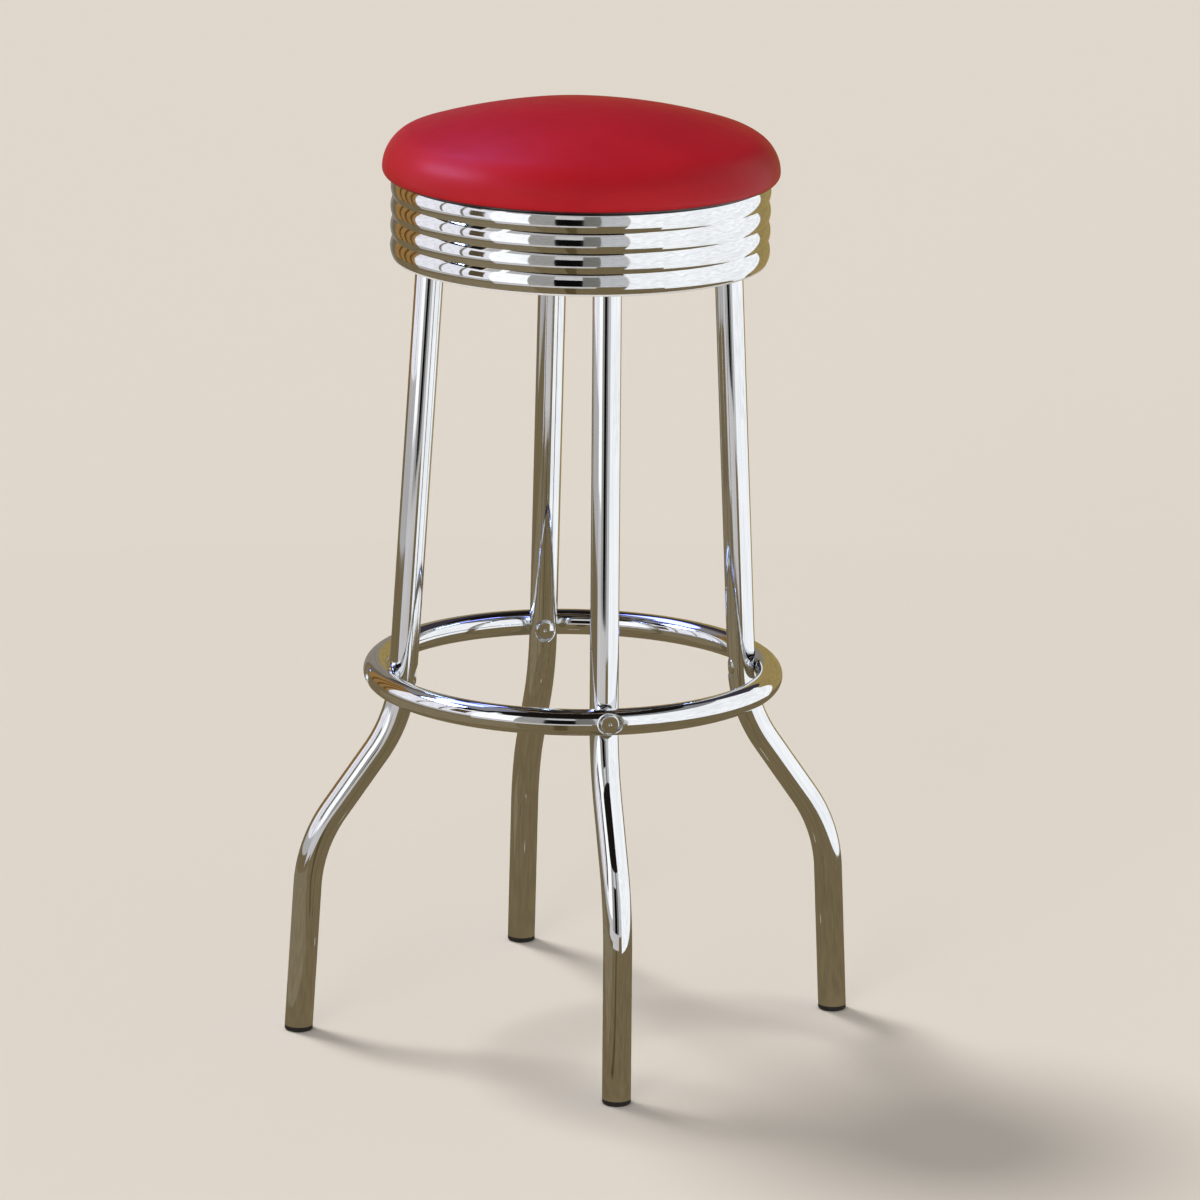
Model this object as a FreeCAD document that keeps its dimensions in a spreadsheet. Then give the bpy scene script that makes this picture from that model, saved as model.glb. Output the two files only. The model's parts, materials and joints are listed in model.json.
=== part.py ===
import FreeCAD, Part
import math
import os
import Sketcher
from FreeCAD import Placement, Rotation, Vector

# Swivel counter stool: a domed vinyl seat in a ribbed band turns on a ball-race
# swivel, which sits on four bent tube legs tied together by a foot ring.
# Millimetres, +Z up, origin on the floor under the seat's centre, legs on +-X and +-Y.

doc = FreeCAD.newDocument("CounterStool")

driving = {
    "overallHeight": (737, "floor to the crown of the cushion"),
    # cushion
    "coverRadius": (153.8, "cushion at its widest"),
    "crownRise": (50.4, "widest level up to the crown"),
    "crownRadius": (420, "curvature of the crown"),
    "edgeRoll": (6.9, "roll under the cushion's edge"),
    "vinyl": (1.2, "cover thickness"),
    "hemWidth": (27, "cover turned in under the board"),
    "foamGap": (0.3, "foam to cover and to the board's edge"),
    "boardThickness": (12, "plywood"),
    "boardEdgeGap": (1.5, "board edge inside the roll's centre"),
    "ventRadius": (13, "hole in the middle of the board"),
    # band
    "bandSheet": (1.0, "band sheet thickness"),
    "ribPitch": (15.6, "height of one rib"),
    "ribDepth": (2.0, "crest to valley"),
    "ribCount": (4, "ribs"),
    "flangeWidth": (17, "turned-in top of the band"),
    "rimRadius": (1.8, "beaded lower rim"),
    # swivel
    "plateWidth": (160, "square swivel plate"),
    "plateThickness": (2.5, "swivel plate sheet"),
    "plateCorner": (12, "plate corner radius"),
    "swivelHeight": (15, "outside both swivel plates"),
    "raceRadius": (55, "circle of ball centres"),
    "ballRadius": (4, "bearing ball"),
    "raceClearance": (0.4, "ball to upper race"),
    "raceWidth": (14, "annulus that holds the race"),
    "raceGap": (2.2, "between the two races"),
    "retainerThickness": (0.8, "ball retainer sheet"),
    "retainerFit": (0.2, "ball to retainer"),
    "ballCount": (16, "bearing balls"),
    "pinRadius": (5, "centre pin shank"),
    "pinHeadRadius": (10, "lower head of the pin"),
    "pinHeadDepth": (2.6, "lower head of the pin"),
    "pinPeenRadius": (8, "peened upper head of the pin"),
    "pinPeenDepth": (2.4, "peened upper head of the pin"),
    "washerRadius": (11, "washer under the peened head"),
    "washerThickness": (1.5, "washer under the peened head"),
    "turningGap": (0.3, "between faces that turn past each other"),
    "pinRunning": (0.08, "centre pin in the upper plate, radial"),
    # frame under the swivel
    "mountThickness": (3, "mounting plate and ears"),
    "mountHole": (34, "radius of the mounting plate's centre hole"),
    "earWidth": (34, "ear across the leg"),
    "earLength": (42, "ear below the plate's top"),
    # legs
    "legTube": (22.2, "leg tube outside diameter"),
    "tubeWall": (1.6, "leg and ring tube wall"),
    "footRadius": (215.5, "leg centre at the floor"),
    "kneeLowHeight": (151.6, "corner of the lower bend"),
    "kneeHighHeight": (252.5, "corner of the upper bend"),
    "kneeHighRadius": (136.8, "leg centre at the upper bend's corner"),
    "legLean": (3.1, "degrees, both straight runs lean outward"),
    "bendRadius": (118, "leg bends, centre line"),
    "legTopDrop": (4, "leg top below the mounting plate's top"),
    "glideHeight": (4, "glide below the tube"),
    "glidePlug": (16, "glide inside the tube"),
    "plugFit": (0.1, "glide plug to bore"),
    "glideBevel": (1.2, "bevel round the glide's sole"),
    # foot ring
    "ringHeight": (285.8, "foot ring centre"),
    "ringTube": (20.5, "ring tube outside diameter"),
    "saddleDepth": (2.2, "leg pressed in behind the ring"),
    "saddleRadius": (30, "curvature of the pressed saddle"),
    "seatFit": (0.05, "ring to saddle, ball to lower race"),
    "dishRadius": (7.8, "floor of the dish round each head"),
    "dishAngle": (24, "degrees, flare of the dish"),
    "ringDishDepth": (4.6, "dish floor below the ring's crown"),
    "legDishDepth": (3.6, "dish floor below the leg's crown"),
    "headRadius": (7.2, "ring bolt and nut head"),
    "headRim": (0.8, "edge thickness of the head"),
    "headDome": (2.6, "head thickness in the middle"),
    "headDomeRadius": (15, "curvature of the head"),
    "headHollow": (1.5, "radius of the hollow in the head"),
    "headHollowDepth": (0.7, "hollow in the head"),
    "ringBoltRadius": (3, "ring bolt shank"),
    "sleeveRadius": (4.3, "sleeve of the ring nut"),
    "sleeveLength": (11, "sleeve of the ring nut"),
    "boltTipGap": (2.5, "bolt tip to the nut's head"),
    "dishOvershoot": (2, "dish cutter past the crown"),
    "boltFit": (0.2, "shank to hole"),
    # fasteners
    "screwRadius": (2, "wood screw shank"),
    "screwHeadRadius": (3.9, "wood screw head"),
    "screwHeadDepth": (2.2, "wood screw head"),
    "screwLength": (9.5, "wood screw in the board"),
    "bandScrewCount": (6, "band screws"),
    "frameBoltRadius": (3, "leg and swivel bolt shank"),
    "frameHeadRadius": (6, "leg and swivel bolt head"),
    "frameHeadDepth": (3.2, "leg and swivel bolt head"),
    "nutRadius": (5.8, "hexagon nut across corners, half"),
    "nutDepth": (5, "hexagon nut"),
    "threadEnd": (2, "shank past its nut"),
    "cornerInset": (12, "plate bolt to the plate's edge"),
    "legBoltHigh": (15, "upper leg bolt below the leg's top"),
    "legBoltLow": (29, "lower leg bolt below the leg's top"),
    "stapleWire": (0.9, "staple wire"),
    "stapleWidth": (10, "staple crown"),
    "stapleLeg": (7, "staple leg"),
    "stapleInset": (7, "staple to the cover's cut edge"),
    "stapleCount": (24, "staples"),
    # how many of each
    "legCount": (4, "legs"),
    "cornerCount": (4, "plate corners"),
}

# Every other size follows from the driving ones.
worked = {
    "widestHeight": "Sizes.overallHeight - Sizes.crownRise",
    "coverBottom": "widestHeight - Sizes.edgeRoll",
    "rollCentre": "Sizes.coverRadius - Sizes.edgeRoll",
    "hemRadius": "rollCentre - Sizes.hemWidth",
    "crownCentre": "Sizes.overallHeight - Sizes.crownRadius",
    "shoulderRadius": "(2 * Sizes.crownRadius * Sizes.crownRise - Sizes.coverRadius^2 - Sizes.crownRise^2)"
                      " / (2 * (Sizes.crownRadius - Sizes.coverRadius))",
    "shoulderShare": "Sizes.crownRadius / (Sizes.crownRadius - shoulderRadius)",
    "shoulderX": "(Sizes.coverRadius - shoulderRadius) * shoulderShare",
    "shoulderZ": "crownCentre + (widestHeight - crownCentre) * shoulderShare",
    # inside face of the cover, and the foam's face 0.3 mm inside that
    "coverInTop": "Sizes.overallHeight - Sizes.vinyl",
    "coverInRadius": "Sizes.coverRadius - Sizes.vinyl",
    "coverInShoulder": "shoulderRadius - Sizes.vinyl",
    "coverInCrown": "Sizes.crownRadius - Sizes.vinyl",
    "coverInRoll": "Sizes.edgeRoll - Sizes.vinyl",
    "coverInX": "shoulderX - (shoulderX / Sizes.crownRadius) * Sizes.vinyl",
    "coverInZ": "shoulderZ - ((shoulderZ - crownCentre) / Sizes.crownRadius) * Sizes.vinyl",
    "boardBottom": "coverBottom + Sizes.vinyl",
    "foamSkin": "Sizes.vinyl + Sizes.foamGap",
    "foamTop": "Sizes.overallHeight - foamSkin",
    "foamRadius": "Sizes.coverRadius - foamSkin",
    "foamShoulder": "shoulderRadius - foamSkin",
    "foamCrown": "Sizes.crownRadius - foamSkin",
    "foamRoll": "Sizes.edgeRoll - foamSkin",
    "foamX": "shoulderX - (shoulderX / Sizes.crownRadius) * foamSkin",
    "foamZ": "shoulderZ - ((shoulderZ - crownCentre) / Sizes.crownRadius) * foamSkin",
    "foamLow": "coverBottom + foamSkin",
    "boardTop": "boardBottom + Sizes.boardThickness",
    "boardRadius": "rollCentre - Sizes.boardEdgeGap",
    "foamBore": "boardRadius + Sizes.foamGap",
    # band: crests in line with the roll's centre, so the cushion overhangs by the roll
    "ribArc": "(Sizes.ribPitch^2 / 4 + Sizes.ribDepth^2) / (2 * Sizes.ribDepth)",
    "ribArcIn": "ribArc - Sizes.bandSheet",
    "valleyRadius": "rollCentre - Sizes.ribDepth",
    "ribAxis": "rollCentre - ribArc",
    "valleyIn": "ribAxis + sqrt(ribArcIn^2 - Sizes.ribPitch^2 / 4)",
    "bandBottom": "coverBottom - Sizes.ribPitch * Sizes.ribCount",
    "lowRibTop": "bandBottom + Sizes.ribPitch",
    "ribRun": "Sizes.ribPitch * (Sizes.ribCount - 1)",
    "flangeBottom": "coverBottom - Sizes.bandSheet",
    "flangeIn": "valleyRadius - Sizes.flangeWidth",
    "flangeOut": "(valleyRadius + valleyIn) / 2",
    "rimAxis": "valleyRadius - Sizes.rimRadius",
    # swivel, from the board down
    "upperBottom": "boardBottom - Sizes.plateThickness",
    "lowerBottom": "boardBottom - Sizes.swivelHeight",
    "lowerTop": "lowerBottom + Sizes.plateThickness",
    "ballHeight": "boardBottom - Sizes.swivelHeight / 2",
    "upperRace": "ballHeight + Sizes.raceGap / 2",
    "lowerRace": "ballHeight - Sizes.raceGap / 2",
    "raceIn": "Sizes.raceRadius - Sizes.raceWidth / 2",
    "raceOut": "Sizes.raceRadius + Sizes.raceWidth / 2",
    "upperRaceBore": "Sizes.ballRadius + Sizes.raceClearance",
    "lowerRaceBore": "Sizes.ballRadius + Sizes.seatFit",
    "retainerTop": "lowerRace + Sizes.retainerThickness",
    "retainerBore": "Sizes.ballRadius + Sizes.retainerFit",
    "plateHoleRadius": "(Sizes.plateWidth / 2 - Sizes.cornerInset) * sqrt(2)",
    "pinHeadBottom": "lowerBottom - Sizes.pinHeadDepth",
    "washerBottom": "boardBottom + Sizes.turningGap",
    "washerTop": "washerBottom + Sizes.washerThickness",
    "pinTop": "washerTop + Sizes.pinPeenDepth",
    "pinPeenFlat": "Sizes.pinPeenRadius - Sizes.pinPeenDepth",
    "pinBoreTurning": "Sizes.pinRadius + Sizes.pinRunning",
    "pinBoreFixed": "Sizes.pinRadius + Sizes.boltFit / 2",
    # mounting plate and ears, along the leg's lean
    "mountBottom": "lowerBottom - Sizes.mountThickness",
    "leanRate": "tan(Sizes.legLean)",
    "leanStretch": "sqrt(1 + leanRate^2)",
    "legTop": "lowerBottom - Sizes.legTopDrop",
    "legTopRadius": "Sizes.kneeHighRadius - leanRate * (legTop - Sizes.kneeHighHeight)",
    "kneeLowRadius": "Sizes.footRadius - leanRate * Sizes.kneeLowHeight",
    "footCentre": "Sizes.footRadius - leanRate * Sizes.glideHeight",
    "legOuter": "Sizes.legTube / 2",
    "legBore": "Sizes.legTube / 2 - Sizes.tubeWall",
    "earOuterHigh": "legTopRadius - legOuter * leanStretch - leanRate * Sizes.legTopDrop",
    "earBottom": "lowerBottom - Sizes.earLength",
    "earOuterLow": "earOuterHigh + leanRate * Sizes.earLength",
    "earInnerHigh": "earOuterHigh - Sizes.mountThickness * leanStretch + leanRate * Sizes.mountThickness",
    "earInnerLow": "earOuterLow - Sizes.mountThickness * leanStretch",
    "armStart": "Sizes.plateWidth / 2 - Sizes.plateCorner",
    # foot ring on the legs
    "legAtRing": "Sizes.kneeHighRadius - leanRate * (Sizes.ringHeight - Sizes.kneeHighHeight)",
    "ringOuter": "Sizes.ringTube / 2",
    "ringBore": "Sizes.ringTube / 2 - Sizes.tubeWall",
    "saddleFace": "legAtRing + legOuter * leanStretch - Sizes.saddleDepth",
    "ringRadius": "saddleFace + Sizes.seatFit + ringOuter",
    "saddleAxis": "saddleFace + Sizes.saddleRadius",
    "saddleFill": "Sizes.saddleRadius + Sizes.tubeWall",
    "ringCrown": "ringRadius + ringOuter",
    "ringSeat": "ringCrown - Sizes.ringDishDepth",
    "legCrown": "legAtRing - legOuter * leanStretch",
    "legSeat": "legCrown + Sizes.legDishDepth",
    "boltReach": "ringSeat - legSeat - Sizes.boltTipGap",
    "dishFlare": "tan(Sizes.dishAngle)",
    "ringDishReach": "Sizes.ringDishDepth + Sizes.dishOvershoot",
    "ringDishMouth": "Sizes.dishRadius + ringDishReach * dishFlare",
    "legDishReach": "Sizes.legDishDepth + Sizes.dishOvershoot",
    "legDishMouth": "Sizes.dishRadius + legDishReach * dishFlare",
    "dishFillRadius": "Sizes.dishRadius + Sizes.tubeWall",
    "ringFillMouth": "ringDishMouth + Sizes.tubeWall",
    "legFillMouth": "legDishMouth + Sizes.tubeWall",
    "sleeveHoleReach": "Sizes.tubeWall * 2",
    "legHoleReach": "Sizes.legTube + Sizes.dishOvershoot",
    "hollowFloor": "Sizes.headDome - Sizes.headHollowDepth",
    "hollowSmall": "Sizes.headHollow / 2",
    "ringBoltHole": "Sizes.ringBoltRadius + Sizes.boltFit",
    "sleeveHole": "Sizes.sleeveRadius + Sizes.boltFit",
    "sleeveBore": "Sizes.ringBoltRadius + Sizes.boltFit / 2",
    # glide
    "plugRadius": "legBore - Sizes.plugFit",
    "soleRadius": "legOuter - Sizes.glideBevel",
    # fasteners
    "screwTop": "Sizes.screwHeadDepth + Sizes.screwLength",
    "screwHeadFlat": "Sizes.screwHeadRadius / 2",
    "screwHeadRound": "Sizes.screwHeadRadius * 0.8",
    "screwTaper": "screwTop - Sizes.screwRadius * 2",
    "bandScrewBottom": "flangeBottom - Sizes.screwHeadDepth",
    "swivelScrewBottom": "upperBottom - Sizes.screwHeadDepth",
    "screwHole": "Sizes.screwRadius + Sizes.boltFit / 4",
    "bandScrewCircle": "flangeIn + Sizes.flangeWidth / 2 - 1",
    "frameHole": "Sizes.frameBoltRadius + Sizes.boltFit",
    "swivelBoltLength": "Sizes.plateThickness + Sizes.mountThickness + Sizes.nutDepth + Sizes.threadEnd",
    "swivelNutBottom": "mountBottom - Sizes.nutDepth",
    "legBoltLength": "Sizes.legTube + Sizes.mountThickness + Sizes.nutDepth + Sizes.threadEnd",
    "legHighX": "legTopRadius + Sizes.legBoltHigh * sin(Sizes.legLean)",
    "legHighZ": "legTop - Sizes.legBoltHigh * cos(Sizes.legLean)",
    "legLowX": "legTopRadius + Sizes.legBoltLow * sin(Sizes.legLean)",
    "legLowZ": "legTop - Sizes.legBoltLow * cos(Sizes.legLean)",
    "headShiftX": "legOuter * cos(Sizes.legLean)",
    "headShiftZ": "legOuter * sin(Sizes.legLean)",
    "nutShiftX": "(legOuter + Sizes.mountThickness) * cos(Sizes.legLean)",
    "nutShiftZ": "(legOuter + Sizes.mountThickness) * sin(Sizes.legLean)",
    "legHighHeadX": "legHighX + headShiftX",
    "legHighHeadZ": "legHighZ + headShiftZ",
    "legLowHeadX": "legLowX + headShiftX",
    "legLowHeadZ": "legLowZ + headShiftZ",
    "legHighNutX": "legHighX - nutShiftX",
    "legHighNutZ": "legHighZ - nutShiftZ",
    "legLowNutX": "legLowX - nutShiftX",
    "legLowNutZ": "legLowZ - nutShiftZ",
    "legBoltTurn": "Sizes.legLean - 90",
    "legNutTilt": "-Sizes.legLean - 90",
    "frameHeadEdge": "Sizes.frameHeadDepth / 2",
    "frameHeadFlat": "Sizes.frameHeadRadius / 2",
    "nutBore": "Sizes.frameBoltRadius + Sizes.boltFit / 4",
    "stapleCircle": "hemRadius + Sizes.stapleInset",
    "stapleBottom": "coverBottom - Sizes.stapleWire",
    "stapleTop": "coverBottom + Sizes.stapleLeg",
    "stapleOut": "Sizes.stapleWidth / 2",
    "stapleIn": "Sizes.stapleWidth / 2 - Sizes.stapleWire",
    "stapleTurn": "180 / Sizes.stapleCount",
}


def make_sheet(name, rows):
    sheet = doc.addObject("Spreadsheet::Sheet", name)
    for row, (alias, content, note) in enumerate(rows, start=1):
        sheet.set(f"A{row}", note)
        sheet.set(f"B{row}", content)
        sheet.setAlias(f"B{row}", alias)
    doc.recompute()
    return sheet


driving_rows = [(alias, str(number), note) for alias, (number, note) in driving.items()]
worked_rows = [(alias, "=" + formula, alias) for alias, formula in worked.items()]
sizes_sheet = make_sheet("Sizes", driving_rows)
worked_sheet = make_sheet("Worked", worked_rows)


def cell(name):
    """The expression that reads a named size. A leading minus turns its sign."""
    plain = name.lstrip("-")
    sheet = "Sizes" if plain in driving else "Worked"
    return name.replace(plain, f"{sheet}.{plain}")


def size(name):
    """The number in a named cell. A plain number stands for itself."""
    if not isinstance(name, str):
        return float(name)
    plain = name.lstrip("-")
    number = float(getattr(sizes_sheet if plain in driving else worked_sheet, plain))
    return -number if name.startswith("-") else number


def bind(feature, **cells):
    """Ties properties to cells, as in bind(torus, Radius1="ringRadius")."""
    for prop, name in cells.items():
        feature.setExpression(prop.replace("__", "."), cell(name))
    return feature


def origin_part(body, role):
    return next(part for part in body.Origin.OriginFeatures if part.Role == role)


def attach(feature, body, plane, x=0, y=0, lift=0, turn=0, axis=Vector(0, 0, 1)):
    """Puts a sketch or primitive on a body's own plane, shifted and turned, each by a cell or a number."""
    feature.AttachmentSupport = [(origin_part(body, plane), "")]
    feature.MapMode = "FlatFace"
    place = Vector(size(x), size(y), size(lift))
    feature.AttachmentOffset = Placement(place, Rotation(axis, size(turn)))
    for prop, name in (("Base.x", x), ("Base.y", y), ("Base.z", lift), ("Rotation.Angle", turn)):
        if isinstance(name, str):
            feature.setExpression(f"AttachmentOffset.{prop}", cell(name))
    return feature


def sketch_on(body, plane="XZ_Plane", **place):
    return attach(body.newObject("Sketcher::SketchObject", "Sketch"), body, plane, **place)


def tie(sketch, constraint, name):
    """Adds a dimension and ties it to a cell."""
    index = sketch.addConstraint(constraint)
    sketch.setExpression(f"Constraints[{index}]", cell(name))


def pin_down(sketch, edge, end, x, y):
    """Fixes a point of the sketch at named sizes, or on an axis where the size is 0."""
    for kind, axis, name in (("DistanceX", -2, x), ("DistanceY", -1, y)):
        if name == 0:
            sketch.addConstraint(Sketcher.Constraint("PointOnObject", edge, end, axis))
        else:
            tie(sketch, Sketcher.Constraint(kind, -1, 1, edge, end, size(name)), name)


def arc_between(start, end, radius):
    """Arc from start to end whose centre lies left of the way for a positive radius, else right."""
    half = (end - start) * 0.5
    rise = math.sqrt(max(radius ** 2 - half.Length ** 2, 0.0))
    side = Vector(-half.y, half.x, 0).normalize() * math.copysign(rise, radius)
    circle = Part.Circle(start + half + side, Vector(0, 0, 1), abs(radius))
    first, last = (start, end) if radius > 0 else (end, start)
    return Part.ArcOfCircle(circle, circle.parameter(first), circle.parameter(last))


def outline(sketch, corners):
    """Closed outline through corners (x, y), or (x, y, radius) where an arc leads to the corner."""
    points = [Vector(size(corner[0]), size(corner[1]), 0) for corner in corners]
    edges = []
    for i, corner in enumerate(corners):
        if len(corner) == 3:
            radius = size(corner[2])
            edge = sketch.addGeometry(arc_between(points[i - 1], points[i], radius))
            tie(sketch, Sketcher.Constraint("Radius", edge, abs(radius)), corner[2].lstrip("-"))
            edges.append((edge, 1, 2) if radius > 0 else (edge, 2, 1))
        else:
            edge = sketch.addGeometry(Part.LineSegment(points[i - 1], points[i]))
            edges.append((edge, 1, 2))
    for i, (edge, _, end) in enumerate(edges):
        following, start, _ = edges[(i + 1) % len(edges)]
        sketch.addConstraint(Sketcher.Constraint("Coincident", edge, end, following, start))
        pin_down(sketch, edge, end, *corners[i][:2])
    return sketch


def circle_on(sketch, radius, x=0):
    """A circle centred on the sketch's own x axis."""
    edge = sketch.addGeometry(Part.Circle(Vector(size(x), 0, 0), Vector(0, 0, 1), size(radius)))
    tie(sketch, Sketcher.Constraint("Radius", edge, size(radius)), radius)
    pin_down(sketch, edge, 3, x, 0)
    return sketch


def square_on(sketch, width):
    """A square centred on the sketch's origin."""
    half = size(width) / 2
    points = [Vector(x * half, y * half, 0) for x, y in ((-1, -1), (1, -1), (1, 1), (-1, 1))]
    for i in range(4):
        sketch.addGeometry(Part.LineSegment(points[i], points[(i + 1) % 4]))
    for i in range(4):
        sketch.addConstraint(Sketcher.Constraint("Coincident", i, 2, (i + 1) % 4, 1))
        sketch.addConstraint(Sketcher.Constraint("Vertical" if i % 2 else "Horizontal", i))
    sketch.addConstraint(Sketcher.Constraint("Symmetric", 0, 1, 1, 2, -1, 1))
    tie(sketch, Sketcher.Constraint("DistanceX", 0, 1, 0, 2, size(width)), width)
    tie(sketch, Sketcher.Constraint("DistanceY", 1, 1, 1, 2, size(width)), width)
    return sketch


def hexagon_on(sketch, radius):
    """A regular hexagon round the sketch's origin, a corner on its x axis."""
    reach = size(radius)
    points = [Vector(math.cos(i * math.pi / 3), math.sin(i * math.pi / 3), 0) * reach for i in range(6)]
    for i in range(6):
        sketch.addGeometry(Part.LineSegment(points[i], points[(i + 1) % 6]))
    round_corners = sketch.addGeometry(Part.Circle(Vector(), Vector(0, 0, 1), reach), True)
    sketch.addConstraint(Sketcher.Constraint("Coincident", round_corners, 3, -1, 1))
    tie(sketch, Sketcher.Constraint("Radius", round_corners, reach), radius)
    for i in range(6):
        sketch.addConstraint(Sketcher.Constraint("Coincident", i, 2, (i + 1) % 6, 1))
        sketch.addConstraint(Sketcher.Constraint("PointOnObject", i, 1, round_corners))
    for i in range(1, 6):
        sketch.addConstraint(Sketcher.Constraint("Equal", 0, i))
    sketch.addConstraint(Sketcher.Constraint("PointOnObject", 0, 1, -1))
    return sketch


def bent_path(sketch, corners, radius):
    """Open path of straight runs with tangent bends at the inner corners."""
    points = [Vector(size(x), size(y), 0) for x, y in corners]
    starts = [points[0]]
    arcs = []
    for before, corner, after in zip(points, points[1:], points[2:]):
        back = (before - corner).normalize()
        ahead = (after - corner).normalize()
        setback = size(radius) / math.tan(back.getAngle(ahead) / 2)
        bend_in, bend_out = corner + back * setback, corner + ahead * setback
        side = 1 if back.cross(ahead).z < 0 else -1
        arcs.append((bend_in, bend_out, side * size(radius)))
        starts.append(bend_out)
    ends = [arc[0] for arc in arcs] + [points[-1]]
    runs = [sketch.addGeometry(Part.LineSegment(a, b)) for a, b in zip(starts, ends)]
    for i, (bend_in, bend_out, bend) in enumerate(arcs):
        edge = sketch.addGeometry(arc_between(bend_in, bend_out, bend))
        first, last = (1, 2) if bend > 0 else (2, 1)
        sketch.addConstraint(Sketcher.Constraint("Tangent", runs[i], 2, edge, first))
        sketch.addConstraint(Sketcher.Constraint("Tangent", edge, last, runs[i + 1], 1))
        tie(sketch, Sketcher.Constraint("Radius", edge, size(radius)), radius)
        corner = sketch.addGeometry(Part.Point(points[i + 1]), True)
        pin_down(sketch, corner, 1, *corners[i + 1])
        sketch.addConstraint(Sketcher.Constraint("PointOnObject", corner, 1, runs[i]))
        sketch.addConstraint(Sketcher.Constraint("PointOnObject", corner, 1, runs[i + 1]))
    pin_down(sketch, runs[0], 1, *corners[0])
    pin_down(sketch, runs[-1], 2, *corners[-1])
    return sketch


def revolve(body, sketch, axis=None, kind="Revolution"):
    """Turns a sketch about its own upright axis, or about the axis given."""
    feature = body.newObject(f"PartDesign::{kind}", kind)
    feature.Profile = sketch
    feature.ReferenceAxis = axis or (sketch, ["V_Axis"])
    feature.Angle = 360
    return feature


def pad(body, sketch, length, midplane=False):
    feature = body.newObject("PartDesign::Pad", "Pad")
    feature.Profile = sketch
    feature.Midplane = midplane
    return bind(feature, Length=length)


def pocket_through(body, sketch):
    feature = body.newObject("PartDesign::Pocket", "Pocket")
    feature.Profile = sketch
    feature.Type = "ThroughAll"
    feature.Midplane = True
    return feature


def around(body, features, count):
    """Repeats features of the body evenly about Z."""
    pattern = body.newObject("PartDesign::PolarPattern", "Around")
    pattern.Originals = features
    pattern.Axis = (origin_part(body, "Z_Axis"), [""])
    pattern.Angle = 360
    bind(pattern, Occurrences=count)
    body.Tip = pattern
    return pattern


def holes_around(body, radius, circle, count, turn=0):
    """Holes along Z, evenly spaced on a circle."""
    sketch = circle_on(sketch_on(body, "XY_Plane", turn=turn), radius, circle)
    return around(body, [pocket_through(body, sketch)], count)


def turned(name, corners):
    """A body turned about Z."""
    body = doc.addObject("PartDesign::Body", name)
    revolve(body, outline(sketch_on(body), corners))
    return body


def cut(name, base, *tools):
    for tool in tools:
        step = doc.addObject("Part::Cut", name)
        step.Base = base
        step.Tool = tool
        base = step
    return base


def turn_about_z(feature, angle):
    feature.Placement = Placement(Vector(), Rotation(Vector(0, 0, 1), size(angle)))
    return bind(feature, Placement__Rotation__Angle=angle) if isinstance(angle, str) else feature


def torus(name, radius, tube, height, seam):
    """Torus round Z whose seam stands at the angle given, away from what it cuts."""
    ring = turn_about_z(doc.addObject("Part::Torus", name), seam)
    return bind(ring, Radius1=radius, Radius2=tube, Placement__Base__z=height)


# Cushion

def make_cover():
    """Domed skin, rolled under the cushion's edge and turned in below the board."""
    return turned("Cover", [
        ("hemRadius", "coverBottom"),
        ("rollCentre", "coverBottom"),
        ("coverRadius", "widestHeight", "edgeRoll"),
        ("shoulderX", "shoulderZ", "shoulderRadius"),
        (0, "overallHeight", "crownRadius"),
        (0, "coverInTop"),
        ("coverInX", "coverInZ", "-coverInCrown"),
        ("coverInRadius", "widestHeight", "-coverInShoulder"),
        ("rollCentre", "boardBottom", "-coverInRoll"),
        ("hemRadius", "boardBottom"),
    ])


def make_foam():
    return turned("Foam", [
        (0, "boardTop"),
        ("foamBore", "boardTop"),
        ("foamBore", "foamLow"),
        ("rollCentre", "foamLow"),
        ("foamRadius", "widestHeight", "foamRoll"),
        ("foamX", "foamZ", "foamShoulder"),
        (0, "foamTop", "foamCrown"),
    ])


def make_board():
    body = doc.addObject("PartDesign::Body", "Board")
    disc = sketch_on(body, "XY_Plane", lift="boardBottom")
    circle_on(disc, "boardRadius")
    circle_on(disc, "ventRadius")
    pad(body, disc, "boardThickness")
    return body


def make_staples():
    """Each has its crown under the hem and two legs up into the board."""
    body = doc.addObject("PartDesign::Body", "Staples")
    wire = outline(sketch_on(body, "YZ_Plane", lift="stapleCircle"), [
        ("-stapleOut", "stapleBottom"),
        ("stapleOut", "stapleBottom"),
        ("stapleOut", "stapleTop"),
        ("stapleIn", "stapleTop"),
        ("stapleIn", "coverBottom"),
        ("-stapleIn", "coverBottom"),
        ("-stapleIn", "stapleTop"),
        ("-stapleOut", "stapleTop"),
    ])
    around(body, [pad(body, wire, "stapleWire", midplane=True)], "stapleCount")
    return turn_about_z(body, "stapleTurn")


def make_screws(name, circle, head_bottom, count, turn):
    """Pan-head wood screws driven upward."""
    body = doc.addObject("PartDesign::Body", name)
    profile = outline(sketch_on(body, x=circle, y=head_bottom), [
        (0, 0),
        ("screwHeadFlat", 0),
        ("screwHeadRadius", "screwHeadDepth", "screwHeadRound"),
        ("screwRadius", "screwHeadDepth"),
        ("screwRadius", "screwTaper"),
        (0, "screwTop"),
    ])
    around(body, [revolve(body, profile)], count)
    return turn_about_z(body, turn)


# Band

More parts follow.
